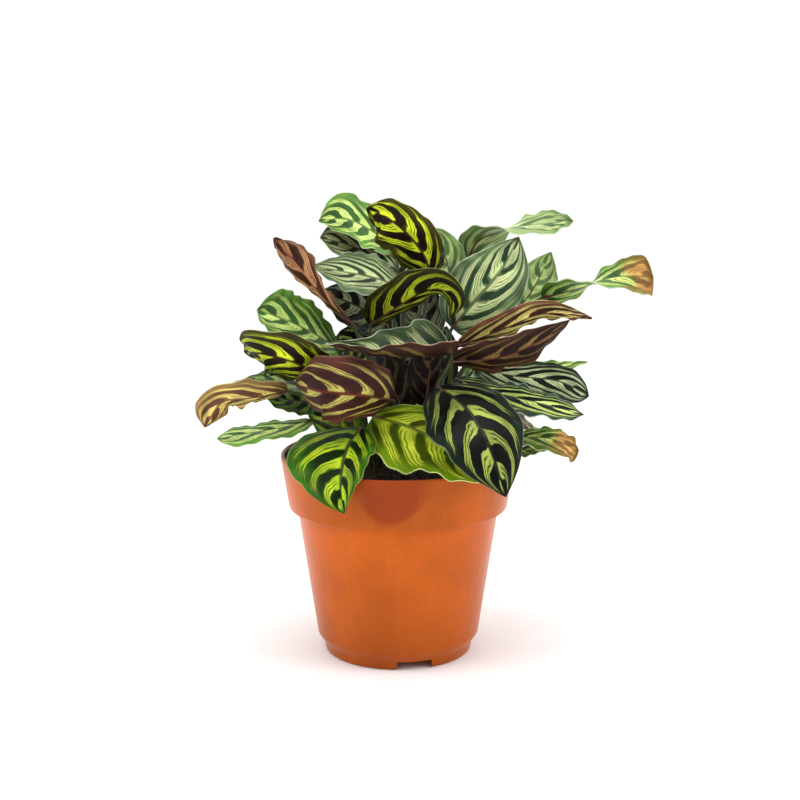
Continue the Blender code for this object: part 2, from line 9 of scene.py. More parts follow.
import bpy
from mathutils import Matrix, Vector


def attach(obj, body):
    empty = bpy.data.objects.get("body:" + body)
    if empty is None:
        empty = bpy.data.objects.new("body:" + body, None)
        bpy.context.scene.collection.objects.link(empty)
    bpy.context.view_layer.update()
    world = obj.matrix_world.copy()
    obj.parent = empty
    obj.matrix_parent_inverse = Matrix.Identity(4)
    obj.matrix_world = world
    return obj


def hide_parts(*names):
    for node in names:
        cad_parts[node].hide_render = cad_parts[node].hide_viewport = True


bl_info = {
    "name": "Potted Peacock Plant",
    "version": (1, 0, 0),
    "blender": (4, 5, 0),
    "location": "View3D > Sidebar > Peacock Plant",
    "description": "Builds the looks of a striped-leaf house plant in a round nursery pot",
    "category": "Object",
}

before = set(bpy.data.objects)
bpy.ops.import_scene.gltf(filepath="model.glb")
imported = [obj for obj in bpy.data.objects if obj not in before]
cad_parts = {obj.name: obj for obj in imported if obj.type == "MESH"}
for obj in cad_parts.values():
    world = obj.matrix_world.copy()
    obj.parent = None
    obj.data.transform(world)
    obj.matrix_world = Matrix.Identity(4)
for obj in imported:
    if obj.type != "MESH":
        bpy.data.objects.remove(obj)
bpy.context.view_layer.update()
BODY = "root"
MM = 0.001

# Pot: sizes in mm, counts, and the turn of the first notch in degrees
POT_HEIGHT = 103.0
RIM_RADIUS = 60.0
BAND_LOW_RADIUS = 56.0
BAND_LOW_Z = 76.5
BODY_TOP_RADIUS = 51.4
BODY_TOP_Z = 74.0
BODY_LOW_RADIUS = 41.6
BODY_LOW_Z = 9.0
FOOT_RADIUS = 37.7
FOOT_HEIGHT = 4.3
FOOT_WIDTH = 3.4
PAD_RADIUS = 13.5
WALL = 1.5
LIP = 0.7
POT_SIDES = 144
NOTCH_COUNT = 3
NOTCH_WIDTH = 18.2
NOTCH_TURN = 12.9
NOTCH_HEIGHT = 4.0
DRAIN_COUNT = 6
DRAIN_RADIUS = 3.6
DRAIN_RING_RADIUS = 25.0

# Soil: sizes in mm and counts; the gap is the one between the soil and the pot
SOIL_GAP = 0.3
SOIL_EDGE_Z = 92.0
SOIL_CROWN_Z = 95.0
SOIL_SIDES = 120
SOIL_RINGS = 26
CRUMB_COUNT = 170
CRUMB_SIZES = (0.5, 0.7, 0.9, 1.3, 1.8)
STALK_CLEARANCE = 2.2

# Leaves: sizes in mm, counts, shares of a length or width, and the least cupping in degrees
STALK_RADIUS = 1.15
STALK_NECK_RADIUS = 0.85
STALK_RISE = 0.55
STALK_LEAD = 0.16
STALK_POSTS = 3
STALK_RINGS = 16
STALK_SIDES = 10
STALK_ROOTED = 5.0
RIB_RINGS = 22
BLADE_ROWS = 60
BLADE_COLUMNS = 28
END_CROWDING = 0.08
TIP_FRACTION = 0.03
LATE_FRACTION = 0.25
LINE_STEPS = 20
GROOVE_DEPTH = 0.35
GROOVE_WIDTH = 0.9
FRILL_START = 0.72
FRILL_RISE = 0.14
NEARLY_FLAT = 0.01

# Leaf markings: how strongly the side veins curve, how a leaf's seed and its two halves shift
# the bands, how far these wander, how far out their dark ovals reach, how many fine lines and
# ribs a band has, the half width of the midrib, and the roughness of each side
VEIN_CURVE = 1.9
SEED_SHIFT = 7.0
HAND_SHIFT = 0.45
BAND_WANDER = 0.4
OVAL_REACH = 0.95
LINES_A_BAND = 6.0
RIBS_A_BAND = 5.0
RIB_SHARE = 0.04
UPPER_GLOSS = 0.36
UNDER_GLOSS = 0.44

# More colours as plain 0 to 255 tones
# Painted reflection of the leaves on the front of the band
POT_PAINTED_REFLECTION = (142, 44, 0)
# Painted shade on the inside of the band
POT_INSIDE_SHADE = (70, 28, 12)
SOIL_FIBRE = (92, 62, 38)
SOIL_GRIT = (130, 110, 88)
# Stalk green and flush, darkened as painted shade where the stalks stand inside the plant
SHADED_STALK_GREEN = (62, 76, 30)
SHADED_STALK_FLUSH = (52, 36, 24)
STALK_LINES = (40, 52, 20)
RIB_RED = (96, 44, 36)
RIB_BROWN = (70, 36, 26)

# The front view that the front leaves are laid out in: the distance and height of the eye in mm,
# its downward pitch in radians, the focal length and centre in units of an 800 wide view, and
# the width of the camera's sensor in mm
EYE_DISTANCE = 805.0
EYE_HEIGHT = 291.8
EYE_ACROSS = 1.0
EYE_PITCH = math.radians(11.35)
EYE_FOCAL = 1616.0
EYE_CENTRE = 400.0
SENSOR_WIDTH = 36.0

# Whether a leaf is green, silvery, deep green or purple-brown: the name of its slot
GREEN = "leaf_green"
SILVER_GREEN = "leaf_silver_green"
DEEP_GREEN = "leaf_deep_green"
PURPLE_BROWN = "leaf_purple_brown"

# Where along the blade it is widest, by where it has opened out, and how blunt its tip is
EARLY = (0.32, 0.0, 1.7)
BROAD = (0.42, 0.0, 2.1)
BLUNT = (0.56, 0.0, 3.4)
SQUARE = (0.6, 0.0, 5.0)
FLARED = (0.82, 0.0, 6.0)
HEARTED = (0.16, 0.0, 1.5)
LATE = (0.74, 0.72, 2.0)

Leaf = namedtuple(
    "Leaf", "root spine face half cup wave slot form twist", defaults=(BROAD, (0, 0)))


def seen(*posts):
    """The places, in mm, of points of the front view, each with how far forward it lies."""
    found = []
    for column, row, forward in posts:
        aside = column - EYE_CENTRE
        lift = EYE_CENTRE - row
        away = math.cos(EYE_PITCH) * EYE_FOCAL + math.sin(EYE_PITCH) * lift
        up = math.cos(EYE_PITCH) * lift - math.sin(EYE_PITCH) * EYE_FOCAL
        reach = (EYE_DISTANCE - forward) / away
        found.append(Vector((EYE_ACROSS + aside * reach, -forward, EYE_HEIGHT + up * reach)))
    return found


def place(*posts):
    """Places given straight in mm."""
    return [Vector(post) for post in posts]


# For each leaf: where its stalk leaves the soil; the midrib from blade base to tip; the way its
# upper face looks at mid-blade; the half widths left and right of the midrib as seen from above
# with the tip ahead; the cupping of each half in degrees; the edge wave (height, count, phase);
# the slot; the form, if not broad; and the twist of base and tip in degrees, if any
LEAVES = {
    "leaf_front_left": Leaf(
        (-11, -15), seen((361, 428, 32), (347, 450, 46), (341, 484, 61), (344, 514, 68)),
        (-0.2, -0.65, 0.72), (13, 31), (-10, -16), (0.8, 2.2, 0.2), GREEN, EARLY),
    "leaf_front_mid": Leaf(
        (-3, -20), seen((373, 416, 21), (413, 428, 32), (458, 452, 43), (502, 485, 60)),
        (-0.2, -0.6, 0.75), (12, 26), (8, 20), (2.2, 2.5, 0.5), GREEN, EARLY),
    "leaf_front_right": Leaf(
        (10, -15), seen((438, 387, 27), (465, 407, 43), (488, 443, 60), (506, 497, 68)),
        (0.1, -0.7, 0.7), (22, 23), (-14, -12), (1.2, 2.5, 0.5), DEEP_GREEN),
    "leaf_left_low": Leaf(
        (-1, -10), seen((394, 400, 19), (362, 395, 44), (322, 391, 52), (295, 384, 38)),
        (0.15, 0.95, 0.25), (18, 18), (55, 10), (1.2, 2.2, 0.3), PURPLE_BROWN, BLUNT),
    "leaf_left_mid": Leaf(
        (-13, -5), seen((325, 376, 26), (292, 361, 42), (262, 353, 46), (245, 352, 36)),
        (0.1, 0.8, 0.6), (15, 17), (20, 10), (1.0, 2.2, 0.0), PURPLE_BROWN, BLUNT),
    "leaf_left_mid_under": Leaf(
        (-20, -3), seen((325, 394, 0), (295, 385, 4), (262, 380, 6), (234, 382, 4)),
        (0.0, -0.2, 0.98), (11, 11), (6, 6), (0.8, 2.2, 0.4), GREEN),
    "leaf_left_tip": Leaf(
        (-18, -11.5), seen((287, 391, 30), (254, 397, 42), (222, 402, 44), (205, 427, 38)),
        (0.1, 0.7, 0.7), (11, 11), (30, 30), (1.4, 2.5, 0.2), PURPLE_BROWN, BLUNT),
    "leaf_left_under": Leaf(
        (-19, 3), seen((322, 402, -5), (300, 401, -2), (280, 398, 0), (262, 390, 0)),
        (0.0, -0.5, 0.85), (10, 10), (0, 0), (0.6, 2.2, 0.0), GREEN),
    "leaf_left_narrow": Leaf(
        (-22, -8), seen((312, 420, 4), (285, 427, 12), (250, 433, 18), (217, 439, 20)),
        (0.0, -0.2, 0.98), (11, 11), (-8, -8), (0.8, 2.2, 0.1), SILVER_GREEN, SQUARE),
    "leaf_left_upper": Leaf(
        (-15, 3), seen((338, 350, 6), (318, 336, 14), (290, 322, 22), (257, 310, 24)),
        (-0.1, -0.55, 0.8), (15, 19), (0, 30), (1.4, 2.6, 0.0), GREEN, SQUARE),
    "leaf_left_curled": Leaf(
        (-10, -1), seen((354, 326, 11), (326, 300, 22), (303, 272, 29), (274, 238, 29)),
        (0.0, 1.0, 0.2), (11, 11), (95, 95), (0.8, 2.5, 0.0), PURPLE_BROWN, LATE),
    "leaf_top_left": Leaf(
        (-1, 13), seen((392, 248, -28), (370, 230, -21), (346, 219, -11), (319, 221, 0)),
        (-0.1, -0.75, 0.65), (15, 17), (10, 10), (1.2, 2.8, 0.3), GREEN),
    "leaf_top_left_under": Leaf(
        (-6, 8), seen((398, 271, -20), (372, 255, -19), (345, 244, -12), (320, 238, -5)),
        (0.0, -0.7, 0.7), (11, 12), (10, 10), (0.8, 2.2, 0.0), SILVER_GREEN, BLUNT),
    "leaf_upper_left": Leaf(
        (-5, 3), seen((404, 289, -3), (375, 278, 8), (345, 272, 11), (312, 266, 11)),
        (0.0, -0.6, 0.8), (15, 15), (8, 10), (1.0, 2.8, 0.0), SILVER_GREEN),
    "leaf_left_shaded": Leaf(
        (-9, 5), seen((388, 326, -12), (365, 310, -7), (343, 300, -4), (318, 292, -4)),
        (0.0, -0.7, 0.7), (15, 14), (8, 8), (1.0, 2.4, 0.2), DEEP_GREEN),
    "leaf_top_back": Leaf(
        (5, 10), seen((450, 290, -20), (448, 266, -16), (439, 245, -12), (420, 228, -9)),
        (0.0, -0.8, 0.6), (14, 10), (10, 10), (1.0, 2.2, 0.0), SILVER_GREEN),
    "leaf_crown": Leaf(
        (3, 1), seen((431, 276, 4), (424, 255, 15), (409, 235, 23), (390, 219, 28), (367, 208, 26)),
        (-0.25, 0.6, 0.75), (12, 15), (12, 12), (1.6, 2.2, 0.0), GREEN, BLUNT),
    "leaf_upper_mid": Leaf(
        (-5, -5), seen((370, 325, 15), (397, 307, 28), (421, 293, 35), (440, 289, 37),
                       (452, 300, 36), (450, 318, 32)),
        (-0.2, 0.9, 0.3), (5, 14), (8, 12), (1.0, 2.6, 0.5), PURPLE_BROWN),
    "leaf_front_upper": Leaf(
        (17, -13), seen((452, 353, 34), (416, 355, 44), (372, 354, 49), (326, 344, 49)),
        (0.0, -0.2, 0.98), (18, 20), (85, 88), (2.2, 2.6, 0.0), SILVER_GREEN, HEARTED),
    "leaf_right_upper": Leaf(
        (13, 7), seen((452, 328, -2), (474, 302, 8), (501, 270, 10), (519, 237, 2)),
        (0.15, -0.85, 0.5), (18, 18), (15, 5), (1.2, 2.6, 0.0), SILVER_GREEN),
    "leaf_top_right": Leaf(
        (14, 14), seen((468, 260, -28), (478, 241, -22), (504, 229, -12), (532, 225, -6),
                       (573, 221, -4)),
        (0.0, -0.05, 1.0), (13, 13), (10, 10), (1.0, 2.2, 0.0), SILVER_GREEN, BLUNT, (70, -45)),
    "leaf_right_small": Leaf(
        (18, 9), seen((520, 308, -4), (536, 284, -6), (551, 252, -10)),
        (0.0, -0.8, 0.6), (10, 10), (10, 10), (0.6, 2.2, 0.0), GREEN),
    "leaf_far_right": Leaf(
        (21, 2), seen((542, 298, 4), (574, 289, 10), (616, 277, 14), (653, 277, 12)),
        (0.0, -0.05, 1.0), (14, 15), (10, 10), (0.8, 2.2, 0.0), SILVER_GREEN, FLARED, (75, -48)),
    "leaf_right_high": Leaf(
        (20.5, -8), seen((458, 346, 12), (500, 330, 20), (545, 313, 24), (592, 318, 24)),
        (0.0, 0.8, 0.5), (7, 8), (40, 40), (0.8, 2.2, 0.0), PURPLE_BROWN),
    "leaf_right_mid": Leaf(
        (16, -7), seen((452, 362, 16), (500, 357, 31), (537, 342, 34), (570, 320, 34)),
        (0.0, 0.85, 0.4), (9, 10), (15, 15), (1.6, 2.8, 0.0), PURPLE_BROWN),
    "leaf_right_low_far": Leaf(
        (26, -2), seen((475, 368, -3), (515, 376, 4), (558, 381, 11), (589, 396, 11)),
        (0.0, -0.6, 0.8), (10, 12), (15, 0), (0.8, 2.2, 0.0), SILVER_GREEN, SQUARE),
    "leaf_right_low_near": Leaf(
        (22, -3.5), seen((455, 379, 4), (490, 391, 21), (535, 402, 33), (584, 415, 34)),
        (0.0, -0.4, 0.92), (10, 12), (0, 0), (1.4, 2.6, 0.0), SILVER_GREEN, BLUNT),
    "leaf_right_corner": Leaf(
        (28, 3), seen((500, 374, -13), (530, 371, -12), (560, 367, -11), (588, 362, -12)),
        (0.0, -0.3, 0.95), (8, 7), (0, 0), (0.6, 2.2, 0.0), GREEN),
    "leaf_right_drooping": Leaf(
        (25, -13), seen((500, 440, 6), (530, 437, 16), (556, 440, 22), (578, 452, 20)),
        (0.0, -0.5, 0.85), (8, 9), (0, 0), (0.6, 2.2, 0.0), GREEN, FLARED),
    "leaf_right_low_small": Leaf(
        (26.5, -8.5), seen((495, 450, 4), (520, 450, 8), (548, 450, 12)),
        (0.0, -0.2, 0.98), (8, 8), (0, 0), (0.5, 2.2, 0.0), GREEN),
    "leaf_left_inner": Leaf(
        (-14, 9), seen((372, 342, -17), (354, 344, -13), (330, 362, -12)),
        (-0.2, -0.8, 0.5), (10, 10), (10, 10), (0.8, 2.2, 0.0), DEEP_GREEN),
    "leaf_centre_left": Leaf(
        (-2, -2), seen((404, 414, 6), (396, 394, 4), (383, 372, 0), (370, 350, -8)),
        (0.2, 0.95, 0.1), (13, 13), (15, 15), (0.8, 2.2, 0.0), PURPLE_BROWN),
    "leaf_centre_right": Leaf(
        (12, -1), seen((425, 406, 7), (428, 384, 8), (431, 360, 6), (438, 338, 0)),
        (-0.2, 0.95, 0.1), (8, 11), (15, 15), (0.8, 2.2, 0.0), PURPLE_BROWN),
    "leaf_back_left": Leaf(
        (-7, 18), place((-14, 27, 142), (-22, 50, 150), (-35, 92, 123)),
        (0.0, 0.2, 1.0), (17, 16), (8, 8), (1.2, 2.5, 0.0), GREEN),
    "leaf_back_mid": Leaf(
        (3.5, 23), place((2, 29, 138), (6, 35, 154), (12, 46, 171), (17, 62, 182)),
        (0.0, -0.7, 0.7), (18, 15), (8, 8), (1.2, 2.5, 0.3), DEEP_GREEN),
    "leaf_back_right": Leaf(
        (12, 19), place((18, 18, 114), (21, 25, 132), (24, 36, 149), (26, 54, 160)),
        (0.0, -0.8, 0.6), (11, 9), (8, 8), (1.0, 2.5, 0.6), DEEP_GREEN),
    "leaf_back_far_left": Leaf(
        (-16, 15), place((-24, 20, 132), (-42, 42, 138), (-62, 70, 112)),
        (-0.2, 0.2, 1.0), (16, 16), (8, 8), (1.2, 2.5, 0.1), GREEN),
    "leaf_back_far_right": Leaf(
        (20, 15), place((34, 20, 134), (54, 40, 138), (78, 64, 112)),
        (0.2, 0.2, 1.0), (15, 16), (8, 8), (1.2, 2.5, 0.4), GREEN),
    "leaf_back_high_left": Leaf(
        (-3, 22), place((-3, 27, 182), (-7, 38, 199), (-13, 58, 211), (-24, 86, 203)),
        (-0.1, -0.3, 1.0), (16, 16), (10, 10), (1.2, 2.5, 0.7), SILVER_GREEN),
    "leaf_back_high_right": Leaf(
        (7, 20), place((16, 30, 192), (27, 53, 202), (43, 85, 188)),
        (0.1, 0.2, 1.0), (15, 16), (10, 10), (1.2, 2.5, 0.2), SILVER_GREEN),
    "leaf_back_low": Leaf(
        (0, 27), place((1, 35, 116), (0, 58, 120), (-6, 90, 96)),
        (0.0, 0.2, 1.0), (17, 17), (-8, -8), (1.2, 2.5, 0.0), GREEN),
    "leaf_back_low_left": Leaf(
        (-21, 10), place((-22, 19, 97), (-29, 26, 109), (-38, 36, 118), (-50, 50, 122)),
        (-0.2, -0.8, 0.6), (12, 12), (0, 0), (1.0, 2.2, 0.5), GREEN),
    "leaf_back_low_right": Leaf(
        (25, 9), place((34, 14, 116), (54, 24, 120), (80, 36, 102)),
        (0.2, 0.2, 1.0), (14, 14), (-8, -8), (1.2, 2.5, 0.8), GREEN),
}


# The looks of a leaf: the tones of its upper and under side, the brightness of both, which is
# painted light and shade (below 1 for a leaf in shade, above 1 for a brightly lit one), how many
# vein bands there are and how far they sweep toward the tip as a share of the length, the ripple
# of its edge (mm, count), the crumpling of its tip in mm, and where along it the blade turns dry
NEVER = 2.0
Look = namedtuple("Look", "upper under tone bands sweep ripple frill dry", defaults=(0.0, NEVER))

# Colours as plain 0 to 255 tones: between the veins, the same in shade, the dark ovals, the band
# along the edge, the edge itself, the midrib, and the dry end; then the breadth of the ovals
Tones = namedtuple("Tones", "field deep dark body edge rib dry breadth")
SIDES = {
    "bright": Tones(
        (184, 208, 40), (116, 160, 24), (16, 34, 6), (60, 112, 18), (160, 184, 96), (44, 76, 24),
        (186, 150, 96), 0.5),
    "pale": Tones(
        (206, 224, 126), (152, 190, 86), (50, 84, 38), (98, 144, 54), (216, 226, 190),
        (120, 150, 76), (196, 128, 72), 0.52),
    "fresh": Tones(
        (172, 204, 90), (110, 156, 52), (24, 46, 18), (66, 112, 40), (180, 200, 130),
        (80, 116, 50), (196, 128, 72), 0.56),
    "sage": Tones(
        (164, 178, 80), (100, 118, 54), (8, 12, 7), (20, 34, 24), (124, 134, 98), (24, 32, 22),
        (150, 120, 84), 0.68),
    "silver": Tones(
        (214, 222, 162), (166, 188, 120), (44, 64, 44), (100, 126, 86), (218, 226, 200),
        (120, 142, 92), (170, 120, 80), 0.44),
    "misty": Tones(
        (204, 218, 152), (164, 190, 116), (90, 120, 72), (134, 166, 98), (222, 228, 200),
        (146, 162, 112), (196, 160, 120), 0.46),
    "frosted": Tones(
        (216, 234, 122), (150, 180, 90), (14, 22, 18), (54, 76, 58), (216, 224, 204),
        (90, 112, 84), (170, 130, 84), 0.6),
    "slate": Tones(
        (216, 228, 172), (142, 162, 112), (14, 22, 15), (42, 60, 42), (168, 182, 148),
        (72, 90, 66), (150, 120, 90), 0.52),
    "backlit": Tones(
        (222, 236, 70), (172, 204, 34), (70, 88, 10), (122, 158, 16), (226, 236, 150),
        (150, 176, 60), (190, 170, 90), 0.4),
    "lime_brown": Tones(
        (222, 238, 50), (170, 190, 34), (28, 18, 9), (64, 62, 20), (130, 108, 60), (70, 30, 22),
        (66, 46, 32), 0.6),
    "wine": Tones(
        (196, 188, 96), (150, 128, 66), (56, 28, 25), (90, 50, 42), (144, 104, 76), (116, 44, 38),
        (170, 110, 70), 0.76),
    "rust": Tones(
        (196, 146, 96), (150, 98, 68), (60, 34, 27), (108, 62, 46), (160, 114, 86), (200, 120, 88),
        (190, 130, 80), 0.6),
    "ochre": Tones(
        (220, 208, 122), (176, 152, 84), (58, 34, 28), (112, 68, 50), (204, 150, 112),
        (150, 76, 56), (200, 160, 120), 0.56),
    "plum": Tones(
        (128, 102, 56), (92, 64, 42), (38, 21, 17), (66, 40, 32), (186, 104, 60), (112, 48, 38),
        (150, 100, 60), 0.72),
    "straw": Tones(
        (220, 204, 112), (186, 160, 86), (92, 60, 44), (142, 112, 66), (216, 190, 140),
        (160, 108, 76), (206, 150, 100), 0.6),
    "shade": Tones(
        (80, 68, 38), (54, 38, 28), (20, 11, 10), (36, 21, 18), (66, 44, 34), (60, 28, 24),
        (110, 70, 50), 0.75),
}

FRESH = Look("fresh", "wine", 1.0, 4.6, 0.38, (0.7, 6.0))

# Each look's third number is the leaf's painted light and shade
LOOKS = {
    "leaf_front_left": Look("bright", "wine", 0.88, 4.6, 0.42, (0.7, 6.0)),
    "leaf_front_mid": Look("backlit", "lime_brown", 1.0, 5.0, 0.4, (1.1, 7.0)),
    "leaf_front_right": Look("sage", "wine", 1.0, 4.2, 0.5, (0.7, 6.0)),
    "leaf_left_low": Look("fresh", "wine", 1.0, 3.8, 0.7, (1.0, 5.0)),
    "leaf_left_mid": Look("fresh", "lime_brown", 0.85, 3.4, 0.7, (1.0, 5.0), 0.5),
    "leaf_left_mid_under": Look("fresh", "wine", 0.62, 4.4, 0.3, (0.5, 6.0)),
    "leaf_left_tip": Look("fresh", "straw", 1.05, 3.6, 0.7, (1.1, 5.0), 0.25, 1.05),
    "leaf_left_under": Look("fresh", "wine", 0.7, 4.4, 0.3, (0.5, 6.0)),
    "leaf_left_narrow": Look("pale", "wine", 1.25, 3.2, 0.7, (0.5, 6.0)),
    "leaf_left_upper": Look("pale", "wine", 0.95, 4.2, 0.6, (1.2, 7.0), 0.4),
    "leaf_left_curled": Look("fresh", "rust", 0.9, 3.0, 0.6, (0.9, 6.0), 0.5),
    "leaf_top_left": Look("pale", "wine", 1.15, 4.4, 0.5, (0.6, 5.0), 0.3),
    "leaf_top_left_under": Look("silver", "wine", 0.85, 4.0, 0.7, (0.9, 6.0)),
    "leaf_upper_left": Look("silver", "wine", 0.88, 4.6, 0.95, (1.0, 6.0)),
    "leaf_left_shaded": Look("slate", "wine", 0.4, 4.4, 0.35, (0.6, 6.0)),
    "leaf_top_back": Look("misty", "wine", 1.15, 4.0, 0.6, (0.9, 6.0)),
    "leaf_crown": Look("fresh", "lime_brown", 1.1, 3.6, 0.55, (1.0, 6.0), 1.2, 0.9),
    "leaf_upper_mid": Look("fresh", "lime_brown", 0.5, 4.4, 0.45, (0.9, 6.0)),
    "leaf_front_upper": Look("silver", "plum", 0.7, 4.6, 0.3, (1.2, 6.0)),
    "leaf_right_upper": Look("silver", "wine", 1.0, 4.0, 0.8, (1.2, 6.0)),
    "leaf_top_right": Look("misty", "misty", 1.05, 3.4, 0.7, (1.0, 5.0), 0.7),
    "leaf_right_small": Look("misty", "wine", 1.35, 4.0, 0.5, (0.7, 6.0)),
    "leaf_far_right": Look("pale", "pale", 1.05, 3.0, 0.6, (0.9, 5.0), 0.6, 0.66),
    "leaf_right_high": Look("fresh", "ochre", 1.35, 3.4, 0.75, (1.1, 6.0), 0.6),
    "leaf_right_mid": Look("slate", "plum", 1.0, 3.6, 0.6, (0.9, 6.0)),
    "leaf_right_low_far": Look("slate", "wine", 0.85, 4.0, 0.8, (0.9, 6.0)),
    "leaf_right_low_near": Look("frosted", "wine", 1.05, 4.2, 0.8, (1.4, 8.0)),
    "leaf_right_corner": Look("pale", "straw", 1.25, 4.0, 0.4, (0.5, 6.0), 0.0, 1.1),
    "leaf_right_drooping": Look("pale", "straw", 1.25, 3.6, 0.6, (0.9, 5.0), 0.6, 0.58),
    "leaf_right_low_small": Look("fresh", "wine", 1.0, 4.0, 0.35, (0.5, 6.0)),
    "leaf_left_inner": Look("sage", "shade", 0.7, 4.4, 0.3, (0.5, 6.0)),
    "leaf_centre_left": Look("fresh", "shade", 0.75, 4.4, 0.4, (0.5, 6.0)),
    "leaf_centre_right": Look("fresh", "shade", 0.75, 4.4, 0.4, (0.5, 6.0)),
    "leaf_back_mid": Look("slate", "wine", 0.2, 4.4, 0.4, (0.8, 6.0)),
    "leaf_back_low_left": Look("bright", "wine", 0.45, 4.4, 0.4, (0.8, 6.0)),
    "leaf_back_right": Look("slate", "wine", 0.2, 4.4, 0.4, (0.8, 6.0)),
    "leaf_back_high_left": Look("slate", "wine", 1.0, 4.6, 0.26, (0.8, 6.0)),
    "leaf_back_high_right": Look("silver", "wine", 0.95, 4.6, 0.26, (0.8, 6.0)),
    "leaf_back_low": Look("bright", "wine", 0.9, 4.6, 0.26, (0.8, 6.0)),
}


def linear(tone):
    """A 0 to 255 tone as a linear colour."""
    steps = [level / 255.0 for level in tone]
    curve = [u / 12.92 if u <= 0.04045 else ((u + 0.055) / 1.055) ** 2.4 for u in steps]
    return (*curve, 1.0)


def scaled(colour, factor, lift=0.0):
    """A plain colour made lighter or darker."""
    return (*[min(1.0, factor * level + lift) for level in colour[:3]], 1.0)


def between(share, first, second):
    """A plain colour part way between two."""
    return tuple(a + share * (b - a) for a, b in zip(first, second))


def maths(operation, swapped=False):
    """A method that makes a maths node of a varying number and of what it is combined with."""
    def method(self, *others):
        inputs = (*others, self) if swapped else (self, *others)
        made = self.finish.node("ShaderNodeMath", {"operation": operation}, dict(enumerate(inputs)))
        return Field(self.finish, made.outputs[0])
    return method


class Field:
    """A number that varies over a surface, so that a pattern reads as plain sums."""

    def __init__(self, finish, socket):
        self.finish = finish
        self.socket = socket

    __add__ = maths("ADD")
    __radd__ = maths("ADD", swapped=True)
    __sub__ = maths("SUBTRACT")
    __rsub__ = maths("SUBTRACT", swapped=True)
    __mul__ = maths("MULTIPLY")
    __rmul__ = maths("MULTIPLY", swapped=True)
    __truediv__ = maths("DIVIDE")
    __pow__ = maths("POWER")
    __abs__ = maths("ABSOLUTE")
    fraction = maths("FRACT")
    whole = maths("FLOOR")
    sine = maths("SINE")
    above = maths("GREATER_THAN")
    at_least = maths("MAXIMUM")
    at_most = maths("MINIMUM")

    def ramp(self, low, high, start=0.0, end=1.0):
        """Smoothly from start to end while the number goes from low to high."""
        made = self.finish.node(
            "ShaderNodeMapRange", {"interpolation_type": "SMOOTHSTEP"},
            {"Value": self, "From Min": low, "From Max": high, "To Min": start, "To Max": end})
        return Field(self.finish, made.outputs["Result"])


class Patterns:
    """Short ways to add nodes to a node tree."""

    def __init__(self, tree):
        self.tree = tree

    def feed(self, socket, value):
        """Give a socket a number or colour, or link it to one that varies."""
        if isinstance(value, Field):
            value = value.socket
        if isinstance(value, bpy.types.NodeSocket):
            self.tree.links.new(value, socket)
        else:
            socket.default_value = value

    def node(self, kind, settings=None, inputs=None):
        """A node with its settings made first, then its sockets filled."""
        made = self.tree.nodes.new(kind)
        for name, value in (settings or {}).items():
            setattr(made, name, value)
        for name, value in (inputs or {}).items():
            self.feed(made.inputs[name], value)
        return made

    def attribute(self, name):
        """The three numbers of an attribute of the mesh."""
        made = self.node("ShaderNodeAttribute", {"attribute_name": name})
        return self.parts(made.outputs["Vector"])

    def place(self):
        """The place on the object, in metres."""
        return self.node("ShaderNodeTexCoord").outputs["Object"]

    def parts(self, vector):
        """The three numbers of a vector."""
        made = self.node("ShaderNodeSeparateXYZ", None, {0: vector})
        return [Field(self, socket) for socket in made.outputs]

    def vector(self, x, y, z):
        """Three numbers as one place."""
        return self.node("ShaderNodeCombineXYZ", None, {0: x, 1: y, 2: z}).outputs[0]

    def stretched(self, place, scale):
        """A place with each axis made finer or coarser."""
        return self.node("ShaderNodeVectorMath", {"operation": "MULTIPLY"},
                         {0: place, 1: scale}).outputs[0]

    def noise(self, place, scale, detail):
        """Cloudy noise from 0 to 1 about a mean of 0.5."""
        made = self.node("ShaderNodeTexNoise", None, {
            "Vector": place, "Scale": scale, "Detail": detail, "Roughness": 0.55})
        return Field(self, made.outputs["Fac"])

    def blend(self, share, first, second):
        """A colour part way between two."""
        return self.node("ShaderNodeMix", {"data_type": "RGBA"},
                         {0: share, 6: first, 7: second}).outputs[2]

    def toned(self, colour, tone):
        """A colour made lighter or darker."""
        return self.node("ShaderNodeVectorMath", {"operation": "SCALE"},
                         {0: colour, "Scale": tone}).outputs[0]


class Finish(Patterns):
    """A new surface on a Principled shader."""

    def __init__(self, name, specular):
        self.material = bpy.data.materials.new(name)
        self.material.use_nodes = True
        super().__init__(self.material.node_tree)
        self.shader = self.tree.nodes["Principled BSDF"]
        self.shader.inputs["Specular IOR Level"].default_value = specular

    def spread(self, colour, roughness):
        """Let the colour and roughness vary over the surface."""
        self.feed(self.shader.inputs["Base Color"], colour)
        self.feed(self.shader.inputs["Roughness"], roughness)

    def relief(self, height, distance):
        """Fine relief on the surface, its full height in metres."""
        made = self.node("ShaderNodeBump", None, {
            "Height": height, "Distance": distance, "Strength": 1.0})
        self.tree.links.new(made.outputs["Normal"], self.shader.inputs["Normal"])


# What varies over one side of a leaf: the place along it, out from the midrib and among the
# bands, the distance from a band's middle, and the noises of the whole skin and of each band
Skin = namedtuple("Skin", "share out rows middle cloud vary streak fine shade")


